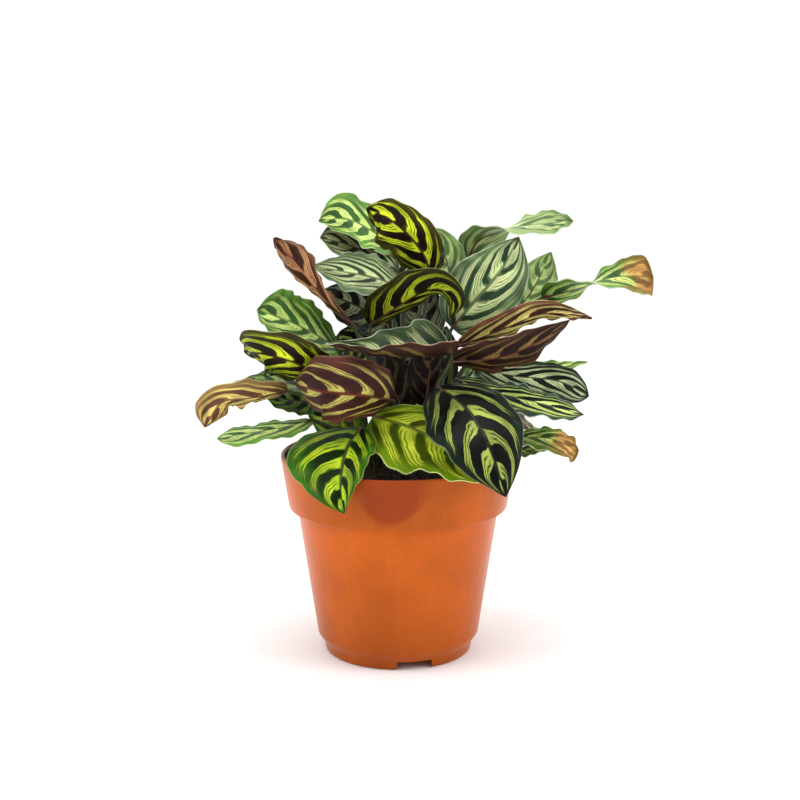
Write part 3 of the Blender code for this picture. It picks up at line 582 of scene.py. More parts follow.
def leaf_skin(finish):
    """Places along and across a leaf's vein bands, and the noises that its pattern is made of."""
    share, span, seed = finish.attribute("leaf_place")
    bands, sweep, _ = finish.attribute("leaf_veins")
    out = abs(span)
    hand = span.above(0.0)
    skin = finish.vector(share * 4.0 + seed * 11.0, span * 1.8, seed * SEED_SHIFT)
    cloud = finish.noise(skin, 1.7, 2.0)
    rows = (share - sweep * out ** VEIN_CURVE) * bands + seed * SEED_SHIFT + hand * HAND_SHIFT
    rows = rows + (cloud - 0.5) * BAND_WANDER
    each = finish.vector(rows.whole() * 3.7, seed * 9.0 + hand * 5.0, 0.5)
    vary = finish.noise(each, 1.0, 1.0) - 0.5
    streak = finish.noise(finish.vector(rows * 7.0, out * 1.5, seed * 5.0 + hand), 1.0, 2.0)
    fine = finish.noise(finish.vector(rows * 26.0, out * 2.5, seed * 3.0), 1.0, 3.0)
    broad = finish.vector(share * 2.6 + seed * 5.0, span * 1.3, seed * 3.0)
    shade = finish.noise(broad, 1.6, 1.0)
    middle = abs(rows.fraction() * 2.0 - 1.0)
    return Skin(share, out, rows, middle, cloud, vary, streak, fine, shade)


def oval_breadths(skin, breadth):
    """How much of each band its dark oval takes up, from the midrib out."""
    reach = OVAL_REACH + (skin.cloud - 0.5) * 0.35
    lens = (((skin.out + 0.05) / reach).at_most(1.0) * math.pi).sine().at_least(0.0) ** 0.6
    return lens * (skin.vary * 0.6 + breadth) + (skin.streak - 0.5) * 0.3


def dark_ovals(skin, width):
    """The dark ovals, fading toward the edge."""
    faded = (skin.out + (skin.cloud - 0.5) * 0.4).ramp(0.4, 0.85) * 0.85
    return (width - skin.middle).ramp(-0.05, 0.1) * (1.0 - faded)


def pale_bands(skin, width, breadth):
    """The pale bands between the ovals, that stop short of the edge, the tip and the base."""
    inside = width.at_least(breadth * 0.75 + (skin.streak - 0.5) * 0.6)
    ends = skin.out + (skin.streak - 0.5) * 0.6 + skin.vary * 0.4
    pale = (skin.middle - inside).ramp(0.0, 0.08)
    pale = pale * (1.0 - ends.ramp(0.7, 0.84)) * skin.out.ramp(0.02, 0.07)
    return pale * (1.0 - skin.share.ramp(0.93, 0.985)) * skin.share.ramp(0.03, 0.1)


def fine_lines(skin):
    """The thin dark lines that run along the pale bands."""
    comb = abs((skin.rows * LINES_A_BAND + 0.5).fraction() * 2.0 - 1.0)
    return comb.ramp(0.5, 0.75) * skin.out.ramp(0.08, 0.2) * skin.streak.ramp(0.34, 0.46)


def striped(finish, skin, tones, ovals, pale):
    """The leaf's colours where it is fresh."""
    field, deep, dark, body, edge, rib = [linear(tone) for tone in tones[:6]]
    colour = finish.blend(skin.cloud.ramp(0.4, 0.65) * 0.5, field, deep)
    colour = finish.blend(skin.fine.ramp(0.5, 0.75) * 0.4, colour, deep)
    colour = finish.blend(fine_lines(skin) * 0.85, colour, between(0.6, body, dark))
    shaded = finish.blend(skin.fine.ramp(0.4, 0.75) * 0.35, body, dark)
    shaded = finish.blend((1.0 - skin.out).ramp(0.2, 0.6) * 0.3, shaded, dark)
    shaded = finish.blend(ovals, shaded, dark)
    colour = finish.blend(pale, shaded, colour)
    colour = finish.blend((RIB_SHARE - skin.out).ramp(0.0, 0.025), colour, rib)
    return finish.blend(skin.out.ramp(0.965, 0.99) * 0.7, colour, edge)


def leaf_finish(name, tones, gloss):
    """One side of a leaf: pale bands that arch toward the tip, with dark ovals between them."""
    finish = Finish(name, 0.1)
    tone, dries, _ = finish.attribute("leaf_look")
    skin = leaf_skin(finish)
    width = oval_breadths(skin, tones.breadth)
    ovals = dark_ovals(skin, width)
    pale = pale_bands(skin, width, tones.breadth)
    dry = linear(tones.dry)
    dried = finish.blend(pale, scaled(dry, 0.5), dry)
    wither = (skin.share - dries + (skin.cloud - 0.5) * 0.5).ramp(0.0, 0.22)
    colour = striped(finish, skin, tones, ovals, pale)
    colour = finish.blend(wither * skin.fine.ramp(0.2, 0.7, 0.55, 0.9), colour, dried)
    # Painted light and shade: each leaf's own brightness, and painted shade darkening it toward its
    # base, deep in the plant; the broad noise varies the tone at random
    tone = tone * skin.share.ramp(-0.1, 0.4, 0.62, 1.0) * skin.shade.ramp(0.32, 0.68, 0.72, 1.24)
    rough = gloss + (skin.fine - 0.5) * 0.16 - ovals * 0.04 + wither * 0.2
    finish.spread(finish.toned(colour, tone), rough)
    ribs = (skin.rows * (2.0 * math.pi * RIBS_A_BAND)).sine() * 0.5 + 0.5
    ribs = (ribs * 0.6 + skin.fine * 0.3) * (1.0 - ovals * 0.7)
    finish.relief(ribs - (RIB_SHARE - skin.out).ramp(0.0, 0.03) * 0.7, 0.00014)
    return finish.material


def stalk_finish():
    """Green stalks with a brownish flush and fine lengthwise lines, darkened as painted shade."""
    finish = Finish("stalk", 0.45)
    place = finish.place()
    share, _, _ = finish.attribute("leaf_place")
    cloud = finish.noise(place, 60.0, 3.0)
    lines = finish.noise(finish.stretched(place, (1400.0, 1400.0, 60.0)), 1.0, 2.0)
    # Painted shade: the stalk's green and flush are darker than a lit stalk's
    colour = finish.blend(cloud.ramp(0.35, 0.7), linear(SHADED_STALK_GREEN), linear(SHADED_STALK_FLUSH))
    colour = finish.blend(lines.ramp(0.4, 0.8) * 0.35, colour, linear(STALK_LINES))
    rib = finish.blend(cloud.ramp(0.3, 0.7), linear(RIB_RED), linear(RIB_BROWN))
    colour = finish.blend(share.ramp(-0.1, 0.1), colour, rib)
    finish.spread(colour, 0.42 + (lines - 0.5) * 0.2)
    finish.relief(lines, 0.0001)
    return finish.material


def deselect():
    """Leave object mode's selection empty."""
    for item in bpy.context.selected_objects:
        item.select_set(False)


def only(item):
    """Make one object the selected and active one."""
    deselect()
    item.select_set(True)
    bpy.context.view_layer.objects.active = item


def apply_modifiers(item):
    """Apply the item's modifiers in order."""
    only(item)
    for modifier in list(item.modifiers):
        bpy.ops.object.modifier_apply(modifier=modifier.name)


def tidy_normals(item, end_sides=0):
    """Merge doubles, close open ends of a number of sides, and turn the faces outward."""
    only(item)
    bpy.ops.object.mode_set(mode="EDIT")
    bpy.ops.mesh.select_all(action="SELECT")
    bpy.ops.mesh.remove_doubles(threshold=0.000004)
    if end_sides:
        bpy.ops.mesh.select_all(action="SELECT")
        bpy.ops.mesh.fill_holes(sides=end_sides)
    bpy.ops.mesh.normals_make_consistent(inside=False)
    bpy.ops.object.mode_set(mode="OBJECT")


def dress(item, materials, nodes):
    """Give a finished piece its surfaces and its place among the fixed pieces."""
    for material in materials:
        item.data.materials.append(material)
    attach(item, BODY)
    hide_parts(*nodes)


# Pot

def inner_line(gap):
    """The pot's inner surface from the axis out and up to the rim, moved inward by a gap."""
    floor = FOOT_HEIGHT + WALL
    pad = PAD_RADIUS - WALL
    return [
        (pad - gap, WALL + gap),
        (pad + LIP - gap, floor + gap),
        (FOOT_RADIUS - WALL - gap, floor + gap),
        (BODY_LOW_RADIUS - WALL - gap, BODY_LOW_Z + WALL + gap),
        (BODY_TOP_RADIUS - WALL - gap, BODY_TOP_Z + LIP + gap),
        (BAND_LOW_RADIUS - WALL - gap, BAND_LOW_Z + WALL + gap),
        (RIM_RADIUS - WALL - LIP - gap, POT_HEIGHT - LIP),
        (RIM_RADIUS - WALL - gap, POT_HEIGHT),
    ]


def outer_line():
    """The pot's outside from the rim down, then its underside in to the pad."""
    ring = FOOT_RADIUS - FOOT_WIDTH
    return [
        (RIM_RADIUS - LIP, POT_HEIGHT),
        (RIM_RADIUS, POT_HEIGHT - LIP),
        (BAND_LOW_RADIUS, BAND_LOW_Z),
        (BAND_LOW_RADIUS - LIP, BAND_LOW_Z - LIP),
        (BODY_TOP_RADIUS, BODY_TOP_Z),
        (BODY_LOW_RADIUS, BODY_LOW_Z),
        (FOOT_RADIUS + LIP, FOOT_HEIGHT),
        (FOOT_RADIUS, 0.0),
        (ring, 0.0),
        (ring, FOOT_HEIGHT),
        (PAD_RADIUS + LIP, FOOT_HEIGHT),
        (PAD_RADIUS, 0.0),
    ]


def lathe(name, line, sides):
    """A closed round shell along a line of (radius, height) from a lower to an upper pole."""
    deselect()
    radius, height = line[0]
    bpy.ops.mesh.primitive_circle_add(
        vertices=sides, radius=radius * MM, fill_type="NOTHING", location=(0.0, 0.0, height * MM))
    item = bpy.context.object
    item.name = name
    only(item)
    bpy.ops.object.transform_apply(location=True, rotation=True, scale=True)
    bpy.ops.object.mode_set(mode="EDIT")
    bpy.ops.mesh.select_all(action="SELECT")
    bpy.ops.mesh.edge_face_add()
    bpy.ops.mesh.select_mode(type="EDGE")
    for (near, low), (far, high) in zip(line, line[1:]):
        bpy.ops.mesh.extrude_region_move(
            TRANSFORM_OT_translate={"value": (0.0, 0.0, (high - low) * MM)})
        bpy.ops.transform.resize(value=(far / near, far / near, 1.0))
    bpy.ops.object.mode_set(mode="OBJECT")
    return item


def cut(item, cutters):
    """Take the cutters' shapes out of the item, and delete them."""
    for cutter in cutters:
        step = item.modifiers.new("Cut", "BOOLEAN")
        step.operation = "DIFFERENCE"
        step.solver = "EXACT"
        step.object = cutter
    apply_modifiers(item)
    for cutter in cutters:
        bpy.data.objects.remove(cutter)


def around(angle, radius):
    """The x and y of a point at an angle from the front, toward +X."""
    return radius * math.sin(angle), -radius * math.cos(angle)


def notch_cutters():
    """Blocks that open the notches in the foot ring."""
    made = []
    for index in range(NOTCH_COUNT):
        angle = math.radians(NOTCH_TURN + index * 360.0 / NOTCH_COUNT)
        x, y = around(angle, FOOT_RADIUS)
        deselect()
        bpy.ops.mesh.primitive_cube_add(
            size=MM, location=(x * MM, y * MM, 0.0), rotation=(0.0, 0.0, angle),
            scale=(NOTCH_WIDTH, 3.0 * FOOT_WIDTH, 2.0 * NOTCH_HEIGHT))
        made.append(bpy.context.object)
    return made


def drain_cutters():
    """Rods that open the drain holes in the floor."""
    made = []
    for index in range(DRAIN_COUNT):
        angle = math.radians(NOTCH_TURN + (index + 0.5) * 360.0 / DRAIN_COUNT)
        x, y = around(angle, DRAIN_RING_RADIUS)
        deselect()
        bpy.ops.mesh.primitive_cylinder_add(
            vertices=36, radius=DRAIN_RADIUS * MM, depth=6.0 * WALL * MM,
            location=(x * MM, y * MM, (FOOT_HEIGHT + 0.5 * WALL) * MM))
        made.append(bpy.context.object)
    return made


def painted_leaf_reflection(aside, depth, height, cloud):
    """A painted reflection: the soft dark shape of the leaves that the front of the band mirrors.
    """
    ragged = aside + (cloud - 0.5) * 0.03
    bow = (ragged + 0.005) * (ragged + 0.005) * 40.0
    low = height - bow + (cloud - 0.5) * 0.008
    shape = ragged.ramp(-0.028, -0.014) * (1.0 - ragged.ramp(0.002, 0.02))
    shape = shape * low.ramp((BAND_LOW_Z + 1.0) * MM, (BAND_LOW_Z + 6.0) * MM)
    return shape * (1.0 - depth.ramp(-0.05, -0.02))


def inner_wall(aside, depth, height):
    """Where the pot's surface is the inside of the band."""
    slope = (RIM_RADIUS - BAND_LOW_RADIUS) / (POT_HEIGHT - BAND_LOW_Z)
    outward = (aside * aside + depth * depth) ** 0.5 - (height - POT_HEIGHT * MM) * slope
    inside = 1.0 - outward.ramp((RIM_RADIUS - WALL) * MM, (RIM_RADIUS - 0.4) * MM)
    return inside * height.ramp((BAND_LOW_Z + 2.0) * MM, (BAND_LOW_Z + 4.0) * MM)


def pot_finish(look):
    """Moulded satin plastic: faint draw lines, light scuffs and slightly uneven gloss, with painted
    shade and a painted reflection of the leaves.
    """
    finish = Finish("terracotta_plastic", 0.16)
    place = finish.place()
    aside, depth, height = finish.parts(place)
    cloud = finish.noise(place, 28.0, 3.0)
    draw = finish.noise(finish.stretched(place, (420.0, 420.0, 9.0)), 1.0, 3.0)
    speck = finish.noise(place, 900.0, 2.0)
    pale = scaled(look.plastic, 1.25, 0.02)
    colour = finish.blend(cloud.ramp(0.3, 0.7), scaled(look.plastic, 0.78), look.plastic)
    colour = finish.blend(draw.ramp(0.5, 0.8) * 0.2, colour, pale)
    colour = finish.blend(speck.ramp(0.62, 0.75) * 0.15, colour, pale)
    # Painted shade: the band darker under the leaves, and the body darker toward the foot
    band = height.ramp((BAND_LOW_Z - 2.0) * MM, BAND_LOW_Z * MM) * 0.3
    foot = (1.0 - height.ramp(0.0, 0.065)) * 0.7
    colour = finish.blend(band + foot, colour, finish.toned(colour, 0.6))
    # Painted reflection: the leaves' dark shape painted on the front of the band
    painted_reflection = painted_leaf_reflection(aside, depth, height, cloud)
    colour = finish.blend(painted_reflection * 0.7, colour, linear(POT_PAINTED_REFLECTION))
    # Painted shade: the inside of the band darkened
    colour = finish.blend(inner_wall(aside, depth, height) * 0.85, colour, linear(POT_INSIDE_SHADE))
    finish.spread(colour, look.roughness + (cloud - 0.5) * 0.14 + (draw - 0.5) * 0.04)
    finish.relief(draw * 0.03 + cloud * 0.8 + speck * 0.12, 0.00012)
    return finish.material


class PEACOCK_OT_pot(bpy.types.Operator):
    """Builds the round nursery pot with its rim band, notched foot and drained floor"""

    bl_idname = "peacock.pot"
    bl_label = "Nursery Pot"

    def execute(self, context):
        look = context.scene.peacock_pot
        item = lathe("nursery_pot", inner_line(0.0) + outer_line(), POT_SIDES)
        tidy_normals(item)
        bevel = item.modifiers.new("Round edges", "BEVEL")
        bevel.width = look.edge
        bevel.segments = 3
        bevel.limit_method = "ANGLE"
        bevel.angle_limit = math.radians(12.0)
        apply_modifiers(item)
        cut(item, notch_cutters() + drain_cutters())
        only(item)
        bpy.ops.object.shade_smooth_by_angle(angle=math.radians(30.0))
        dress(item, [pot_finish(look)], ["pot"])
        return {"FINISHED"}


# Soil

def soil_radius():
    """The soil's radius where its top meets the pot's wall."""
    low, high = inner_line(SOIL_GAP)[5:7]
    share = (SOIL_EDGE_Z - low[1]) / (high[1] - low[1])
    return low[0] + share * (high[0] - low[0])


def soil_top(radius):
    """The height of the slightly mounded soil at a radius, in mm."""
    return SOIL_EDGE_Z + (SOIL_CROWN_Z - SOIL_EDGE_Z) * (1.0 - (radius / soil_radius()) ** 2)


def soil_finish(look):
    """Dark moist potting soil with brown fibres and a little grit."""
    finish = Finish("potting_soil", 0.25)
    place = finish.place()
    lump = finish.noise(place, 240.0, 4.0)
    grain = finish.noise(place, 1100.0, 3.0)
    fibre = finish.noise(finish.stretched(place, (300.0, 1500.0, 900.0)), 1.0, 3.0)
    colour = finish.blend(lump.ramp(0.4, 0.7), look.earth, scaled(look.earth, 1.8, 0.004))
    colour = finish.blend(fibre.ramp(0.6, 0.75) * 0.6, colour, linear(SOIL_FIBRE))
    colour = finish.blend(grain.ramp(0.66, 0.76) * 0.5, colour, linear(SOIL_GRIT))
    finish.spread(colour, 0.8 + (grain - 0.5) * 0.3)
    finish.relief(lump + grain * 0.6, 0.0006)
    return finish.material


def loosen(item, height):
    """Raise and sink the soil's top in soft lumps, fading out toward the wall."""
    group = item.vertex_groups.new(name="top")
    rim = soil_radius() * MM
    for vertex in item.data.vertices:
        inward = (rim - vertex.co.xy.length) / (3.0 * MM)
        if vertex.co.z > (SOIL_EDGE_Z - 0.5) * MM and inward > 0.0:
            group.add([vertex.index], min(1.0, inward), "REPLACE")
    clouds = bpy.data.textures.new("lumps", "CLOUDS")
    clouds.noise_scale = 0.005
    clouds.noise_depth = 3
    step = item.modifiers.new("Lumps", "DISPLACE")
    step.texture = clouds
    step.texture_coords = "LOCAL"
    step.direction = "Z"
    step.strength = height
    step.vertex_group = "top"
    apply_modifiers(item)


def crumb_spots():
    """Seeded places and sizes for the crumbs, clear of the stalks, in mm."""
    chance = random.Random(11)
    roots = [leaf.root for leaf in LEAVES.values()]
    spots = []
    while len(spots) < CRUMB_COUNT:
        angle = chance.uniform(0.0, 2.0 * math.pi)
        radius = (soil_radius() - 3.0) * math.sqrt(chance.random())
        size = chance.choice(CRUMB_SIZES)
        x, y = around(angle, radius)
        if all(math.hypot(x - a, y - b) > STALK_CLEARANCE + size for a, b in roots):
            spots.append((x, y, size, chance.random() * 6.28, chance.uniform(0.5, 1.0)))
    return spots


def crumb_model():
    """One rough crumb of 1 mm radius."""
    deselect()
    bpy.ops.mesh.primitive_ico_sphere_add(subdivisions=2, radius=MM)
    bpy.ops.object.mode_set(mode="EDIT")
    bpy.ops.transform.vertex_random(offset=0.35 * MM, uniform=0.4, normal=0.6, seed=3)
    bpy.ops.object.mode_set(mode="OBJECT")
    return bpy.context.object


def add_crumbs(finish):
    """The crumb copied and turned to each spot on the soil, and the copies joined."""
    first = crumb_model()
    copies = []
    for x, y, size, angle, flat in crumb_spots():
        crumb = first.copy()
        crumb.data = first.data.copy()
        bpy.context.collection.objects.link(crumb)
        crumb.location = (x * MM, y * MM, (soil_top(math.hypot(x, y)) + 0.15 * size) * MM)
        crumb.rotation_euler = (angle, 2.0 * angle, 3.0 * angle)
        crumb.scale = (size, size * flat, 0.8 * size * flat)
        copies.append(crumb)
    bpy.data.objects.remove(first)
    only(copies[0])
    for crumb in copies:
        crumb.select_set(True)
    bpy.ops.object.join()
    bpy.ops.object.transform_apply(location=True, rotation=True, scale=True)
    crumbs = bpy.context.object
    crumbs.name = "soil_crumbs"
    crumbs.data.materials.append(finish)
    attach(crumbs, BODY)


class PEACOCK_OT_soil(bpy.types.Operator):
    """Builds the soil that fills the pot, with a loose top and crumbs on it"""

    bl_idname = "peacock.soil"
    bl_label = "Potting Soil"

    def execute(self, context):
        look = context.scene.peacock_pot
        rim = soil_radius()
        top = []
        for step in range(SOIL_RINGS):
            radius = rim - (rim - 1.2) * step / (SOIL_RINGS - 1)
            top.append((radius, soil_top(radius)))
        item = lathe("potting_soil", inner_line(SOIL_GAP)[:6] + top, SOIL_SIDES)
        tidy_normals(item)
        loosen(item, look.lumps)
        only(item)
        bpy.ops.object.shade_smooth_by_angle(angle=math.radians(60.0))
        finish = soil_finish(look)
        dress(item, [finish], ["soil"])
        add_crumbs(finish)
        return {"FINISHED"}


# Leaves

def smooth_line(points):
    """A fine line that runs smoothly through the points."""
    first = 2.0 * points[0] - points[1]
    last = 2.0 * points[-1] - points[-2]
    posts = [first] + list(points) + [last]
    line = []
    for a, b, c, d in zip(posts, posts[1:], posts[2:], posts[3:]):
        for step in range(LINE_STEPS):
            u = step / LINE_STEPS
            bend = (2.0 * a - 5.0 * b + 4.0 * c - d) * u + (3.0 * b - a - 3.0 * c + d) * u * u
            line.append(b + 0.5 * u * (c - a + bend))
    line.append(points[-1])
    return line


def stalk_line(root, base, heading):
    """A fine line that rises from the root and turns into the blade's heading at its base."""
    reach = (base - root).length
    lift = root + Vector((0.0, 0.0, STALK_RISE * reach))
    lead = base - heading * STALK_LEAD * reach
    line = []
    for step in range(LINE_STEPS + 1):
        u = step / LINE_STEPS
        v = 1.0 - u
        line.append(v ** 3 * root + 3.0 * v * v * u * lift + 3.0 * v * u * u * lead + u ** 3 * base)
    return line


def pick(line, shares):
    """Points and headings at the given shares of a fine line's length."""
    lengths = [0.0]
    for near, far in zip(line, line[1:]):
        lengths.append(lengths[-1] + (far - near).length)
    picked = []
    index = 0
    for share in shares:
        goal = share * lengths[-1]
        while index < len(line) - 2 and lengths[index + 1] < goal:
            index += 1
        near, far = line[index], line[index + 1]
        part = (goal - lengths[index]) / (lengths[index + 1] - lengths[index])
        before = line[max(index - 1, 0)]
        after = line[min(index + 2, len(line) - 1)]
        heading = (far - before).lerp(after - near, part).normalized()
        picked.append((near.lerp(far, part), heading))
    return picked


def square_to(vector, heading):
    """The vector turned square to a heading, at unit length."""
    return (vector - vector.dot(heading) * heading).normalized()


def carry(face, headings):
    """The face direction carried along a run of headings without extra roll."""
    faces = []
    for heading in headings:
        face = square_to(face, heading)
        faces.append(face)
    return faces


def even_steps(count, crowding=0.0):
    """Shares from 0 to 1, closer together toward both ends where crowding is more than 0."""
    shares = []
    for step in range(count + 1):
        u = step / count
        shares.append(u - crowding * math.sin(2.0 * math.pi * u))
    return shares


def outline(share, form):
    """The blade's half width at a share of its length, as a fraction of the widest."""
    widest, opened, bluntness = form
    if share >= widest:
        return 1.0 - ((share - widest) / (1.0 - widest)) ** bluntness
    rounded = math.sqrt(max(0.0, 1.0 - (1.0 - share / widest) ** 2))
    if share >= opened:
        return rounded
    return rounded * (LATE_FRACTION + (1.0 - LATE_FRACTION) * (share / opened) ** 2)


def roll_at(share, twist):
    """The extra roll about the midrib, in radians, growing toward both ends."""
    end = twist[0] if share < 0.5 else twist[1]
    return math.radians(end) * abs(2.0 * share - 1.0)


def rolled(heading, face, roll):
    """The side and face directions square to a heading, after a roll about it."""
    side = heading.cross(face)
    above = face * math.cos(roll) - side * math.sin(roll)
    return heading.cross(above), above


def blade_course(leaf, shares):
    """The midrib's places, headings and faces at the given shares."""
    line = pick(smooth_line(leaf.spine), shares)
    headings = [heading for _, heading in line]
    middle = len(shares) // 2
    face = square_to(Vector(leaf.face), headings[middle])
    ahead = carry(face, headings[middle:])
    behind = carry(face, headings[:middle + 1][::-1])[::-1]
    return [(spot, heading, above) for (spot, heading), above in zip(line, behind[:-1] + ahead)]


def wave(turns):
    """A sine wave after a number of whole turns."""
    return math.sin(2.0 * math.pi * turns)


def hand_of(span):
    """0 on the left of the midrib and 1 on its right."""
    return 0 if span < 0.0 else 1


def edge_waves(leaf, look, share, span, seed, sizes):
    """How far the long wave, the edge's ripple and the crumpled tip lift the blade, in mm."""
    height, count, phase = leaf.wave
    hand = hand_of(span)
    out = abs(span)
    belly = math.sin(math.pi * share)
    swell = height * out * out * belly * wave(count * share + phase + 0.3 * hand)
    ripple = look.ripple[0] * sizes.ripple * out ** 4 * belly ** 0.6
    ripple *= wave(look.ripple[1] * share + seed * 3.0 + 0.37 * hand)
    frill = look.frill * min(1.0, max(0.0, share - FRILL_START) / FRILL_RISE) * (0.35 + 0.65 * out)
    frill *= wave(9.0 * share + 1.3 * span + seed)
    return swell + ripple + frill


def vein_folds(look, share, span, seed, sizes):
    """How far the soft folds between the side veins lift the blade, in mm."""
    hand = hand_of(span)
    out = abs(span)
    rows = (share - look.sweep * out ** VEIN_CURVE) * look.bands
    rows += seed * SEED_SHIFT + HAND_SHIFT * hand
    fold = 2.0 * sizes.pucker / MM * math.sin(math.pi * share)
    return fold * wave(rows) * out * (1.0 - out ** 3)


def across(leaf, look, share, span, seed, sizes):
    """Where a point of the blade lies beside and above the midrib, in mm."""
    hand = hand_of(span)
    width = outline(share, leaf.form) + TIP_FRACTION * (1.0 - 0.8 * share)
    width *= 1.0 + 0.025 * wave(2.7 * share + seed + 0.4 * hand)
    bend = math.radians(leaf.cup[hand] or NEARLY_FLAT)
    turn = abs(span) * bend
    radius = leaf.half[hand] * width / bend
    aside = math.copysign(radius * math.sin(turn), span)
    above = radius * (1.0 - math.cos(turn))
    groove = GROOVE_DEPTH * math.exp(-(aside / GROOVE_WIDTH) ** 2) * math.sin(math.pi * share)
    lift = edge_waves(leaf, look, share, span, seed, sizes) - groove
    lift += vein_folds(look, share, span, seed, sizes)
    tilt = math.copysign(turn, span)
    return aside - lift * math.sin(tilt), above + lift * math.cos(tilt)


def span_steps():
    """Places across the blade from its left edge to its right, closer toward the edges."""
    steps = []
    for column in range(BLADE_COLUMNS + 1):
        u = 2.0 * column / BLADE_COLUMNS - 1.0
        steps.append(0.5 * u + 0.5 * math.sin(0.5 * math.pi * u))
    return steps


def add_grid(name, columns, rows, points):
    """A grid laid over rows of points in mm, its faces up where the points run left to right."""
    deselect()
    bpy.ops.mesh.primitive_grid_add(x_subdivisions=columns, y_subdivisions=rows, size=1.0)
    item = bpy.context.object
    item.name = name
    flat = [level * MM for point in points for level in point]
    item.data.vertices.foreach_set("co", flat)
    item.data.update()
    return item


def store(item, name, numbers):
    """Store three numbers for each point of the item's mesh."""
    item.data.attributes.new(name, "FLOAT_VECTOR", "POINT").data.foreach_set("vector", numbers)


def add_blade(name, leaf, look, seed, sizes):
    """The blade as one waved sheet with the pattern's places stored, then given its thickness."""
    shares = even_steps(BLADE_ROWS, END_CROWDING)
    spans = span_steps()
    points = []
    places = []
    for share, (spot, heading, face) in zip(shares, blade_course(leaf, shares)):
        side, above = rolled(heading, face, roll_at(share, leaf.twist))
        for span in spans:
            aside, lift = across(leaf, look, share, span, seed, sizes)
            points.append(spot + side * aside + above * lift)
            places += [share, span, seed]
    item = add_grid(name, BLADE_COLUMNS, BLADE_ROWS, points)
    store(item, "leaf_place", places)
    # The leaf's brightness, which is painted light and shade, and where it turns dry
    store(item, "leaf_look", [look.tone, look.dry, 0.0] * len(points))
    store(item, "leaf_veins", [look.bands, look.sweep, 0.0] * len(points))
    step = item.modifiers.new("Thickness", "SOLIDIFY")
    step.thickness = sizes.thickness
    step.offset = 0.0
    step.material_offset = 1
    item.data.materials.append(sided(look.upper, "upper"))
    item.data.materials.append(sided(look.under, "under"))
    apply_modifiers(item)
    return item


def sided(tones, side):
    """The surface for one side of a leaf, made once for each set of tones."""
    name = f"{tones}_{side}"
    made = bpy.data.materials.get(name)
    return made or leaf_finish(name, SIDES[tones], UPPER_GLOSS if side == "upper" else UNDER_GLOSS)


def riser_rings(leaf, base, heading, face):
    """Rings of the stalk, from in the soil up to the blade: place, heading, face, radius, drop
    below the line, and roll."""
    x, y = leaf.root
    ground = Vector((x, y, soil_top(math.hypot(x, y)) + 1.0))
    posts = pick(stalk_line(ground, base, heading), even_steps(STALK_POSTS))
    line = smooth_line([Vector((x, y, ground.z - STALK_ROOTED))] + [spot for spot, _ in posts])
    risers = pick(line, even_steps(STALK_RINGS))[:-1]
    faces = carry(face, [along for _, along in risers][::-1])[::-1]
    rings = []
    for index, ((spot, along), above) in enumerate(zip(risers, faces)):
        radius = STALK_RADIUS + (STALK_NECK_RADIUS - STALK_RADIUS) * index / len(risers)
        rings.append((spot, along, above, radius, 0.0, math.radians(leaf.twist[0])))
    return rings


def rib_rings(leaf, shares, course):
    """Rings of the rib, that hangs a little below the blade and thins out toward its tip."""
    rings = []
    for share, (spot, along, above) in zip(shares, course):
        radius = STALK_NECK_RADIUS * (0.55 * (1.0 - share) + 0.45 * max(0.0, 1.0 - 8.0 * share))
        drop = min(1.0, share / 0.08) * (0.2 * radius + 0.25)
        rings.append((spot, along, above, radius + 0.08, drop, roll_at(share, leaf.twist)))
    return rings


def add_stalk(name, leaf):
    """The stalk from the soil up, and on as the rib beneath the blade to its tip."""
    shares = even_steps(RIB_RINGS, END_CROWDING)
    course = blade_course(leaf, shares)
    rings = riser_rings(leaf, *course[0]) + rib_rings(leaf, shares, course)
    points = []
    places = []
    for spot, along, above, radius, drop, roll in rings:
        side, above = rolled(along, above, roll)
        places += [1.0 if drop else -1.0, 0.0, 0.0] * (STALK_SIDES + 1)
        for corner in range(STALK_SIDES + 1):
            angle = 2.0 * math.pi * corner / STALK_SIDES
            points.append(spot + side * radius * math.cos(angle)
                          + above * (radius * math.sin(angle) - drop))
    item = add_grid(name, STALK_SIDES, len(rings) - 1, points)
    store(item, "leaf_place", places)
    tidy_normals(item, STALK_SIDES)
    item.data.materials.append(bpy.data.materials.get("stalk") or stalk_finish())
    return item


class PEACOCK_OT_leaves(bpy.types.Operator):
    """Builds every leaf: a stalk and rib, and a thin blade with feathered stripes"""

    bl_idname = "peacock.leaves"
    bl_label = "Striped Leaves"

    def execute(self, context):
        sizes = context.scene.peacock_leaves
        chance = random.Random(sizes.seed)
        for node, leaf in LEAVES.items():
            seed = chance.random()
            look = LOOKS.get(node, FRESH)
            blade = add_blade(node.replace("leaf_", "striped_leaf_"), leaf, look, seed, sizes)
            stalk = add_stalk("stalk", leaf)
            only(blade)
            stalk.select_set(True)
            bpy.ops.object.join()
            bpy.ops.object.shade_smooth_by_angle(angle=math.radians(70.0))
            dress(blade, [], [node])
        return {"FINISHED"}


# Stage

def floor_finish(look):
    """A pale matt studio floor with the faintest unevenness."""
    finish = Finish("studio_floor", 0.1)
    cloud = finish.noise(finish.place(), 3.0, 2.0)
    finish.spread(finish.blend(cloud, scaled(look.floor, 0.97), look.floor),
                  0.85 + (cloud - 0.5) * 0.1)
    return finish.material


def studio_surround(look):
    """Even white light from all round, but dimmer from in front of the plant."""
    world = bpy.data.worlds.new("studio")
    world.use_nodes = True
    patterns = Patterns(world.node_tree)
    _, depth, _ = patterns.parts(patterns.node("ShaderNodeTexCoord").outputs["Generated"])
    background = world.node_tree.nodes["Background"]
    background.inputs["Color"].default_value = (1.0, 1.0, 1.0, 1.0)
    patterns.feed(background.inputs["Strength"],
                  depth.ramp(-0.95, -0.25, look.front_light, look.surround))
    return world


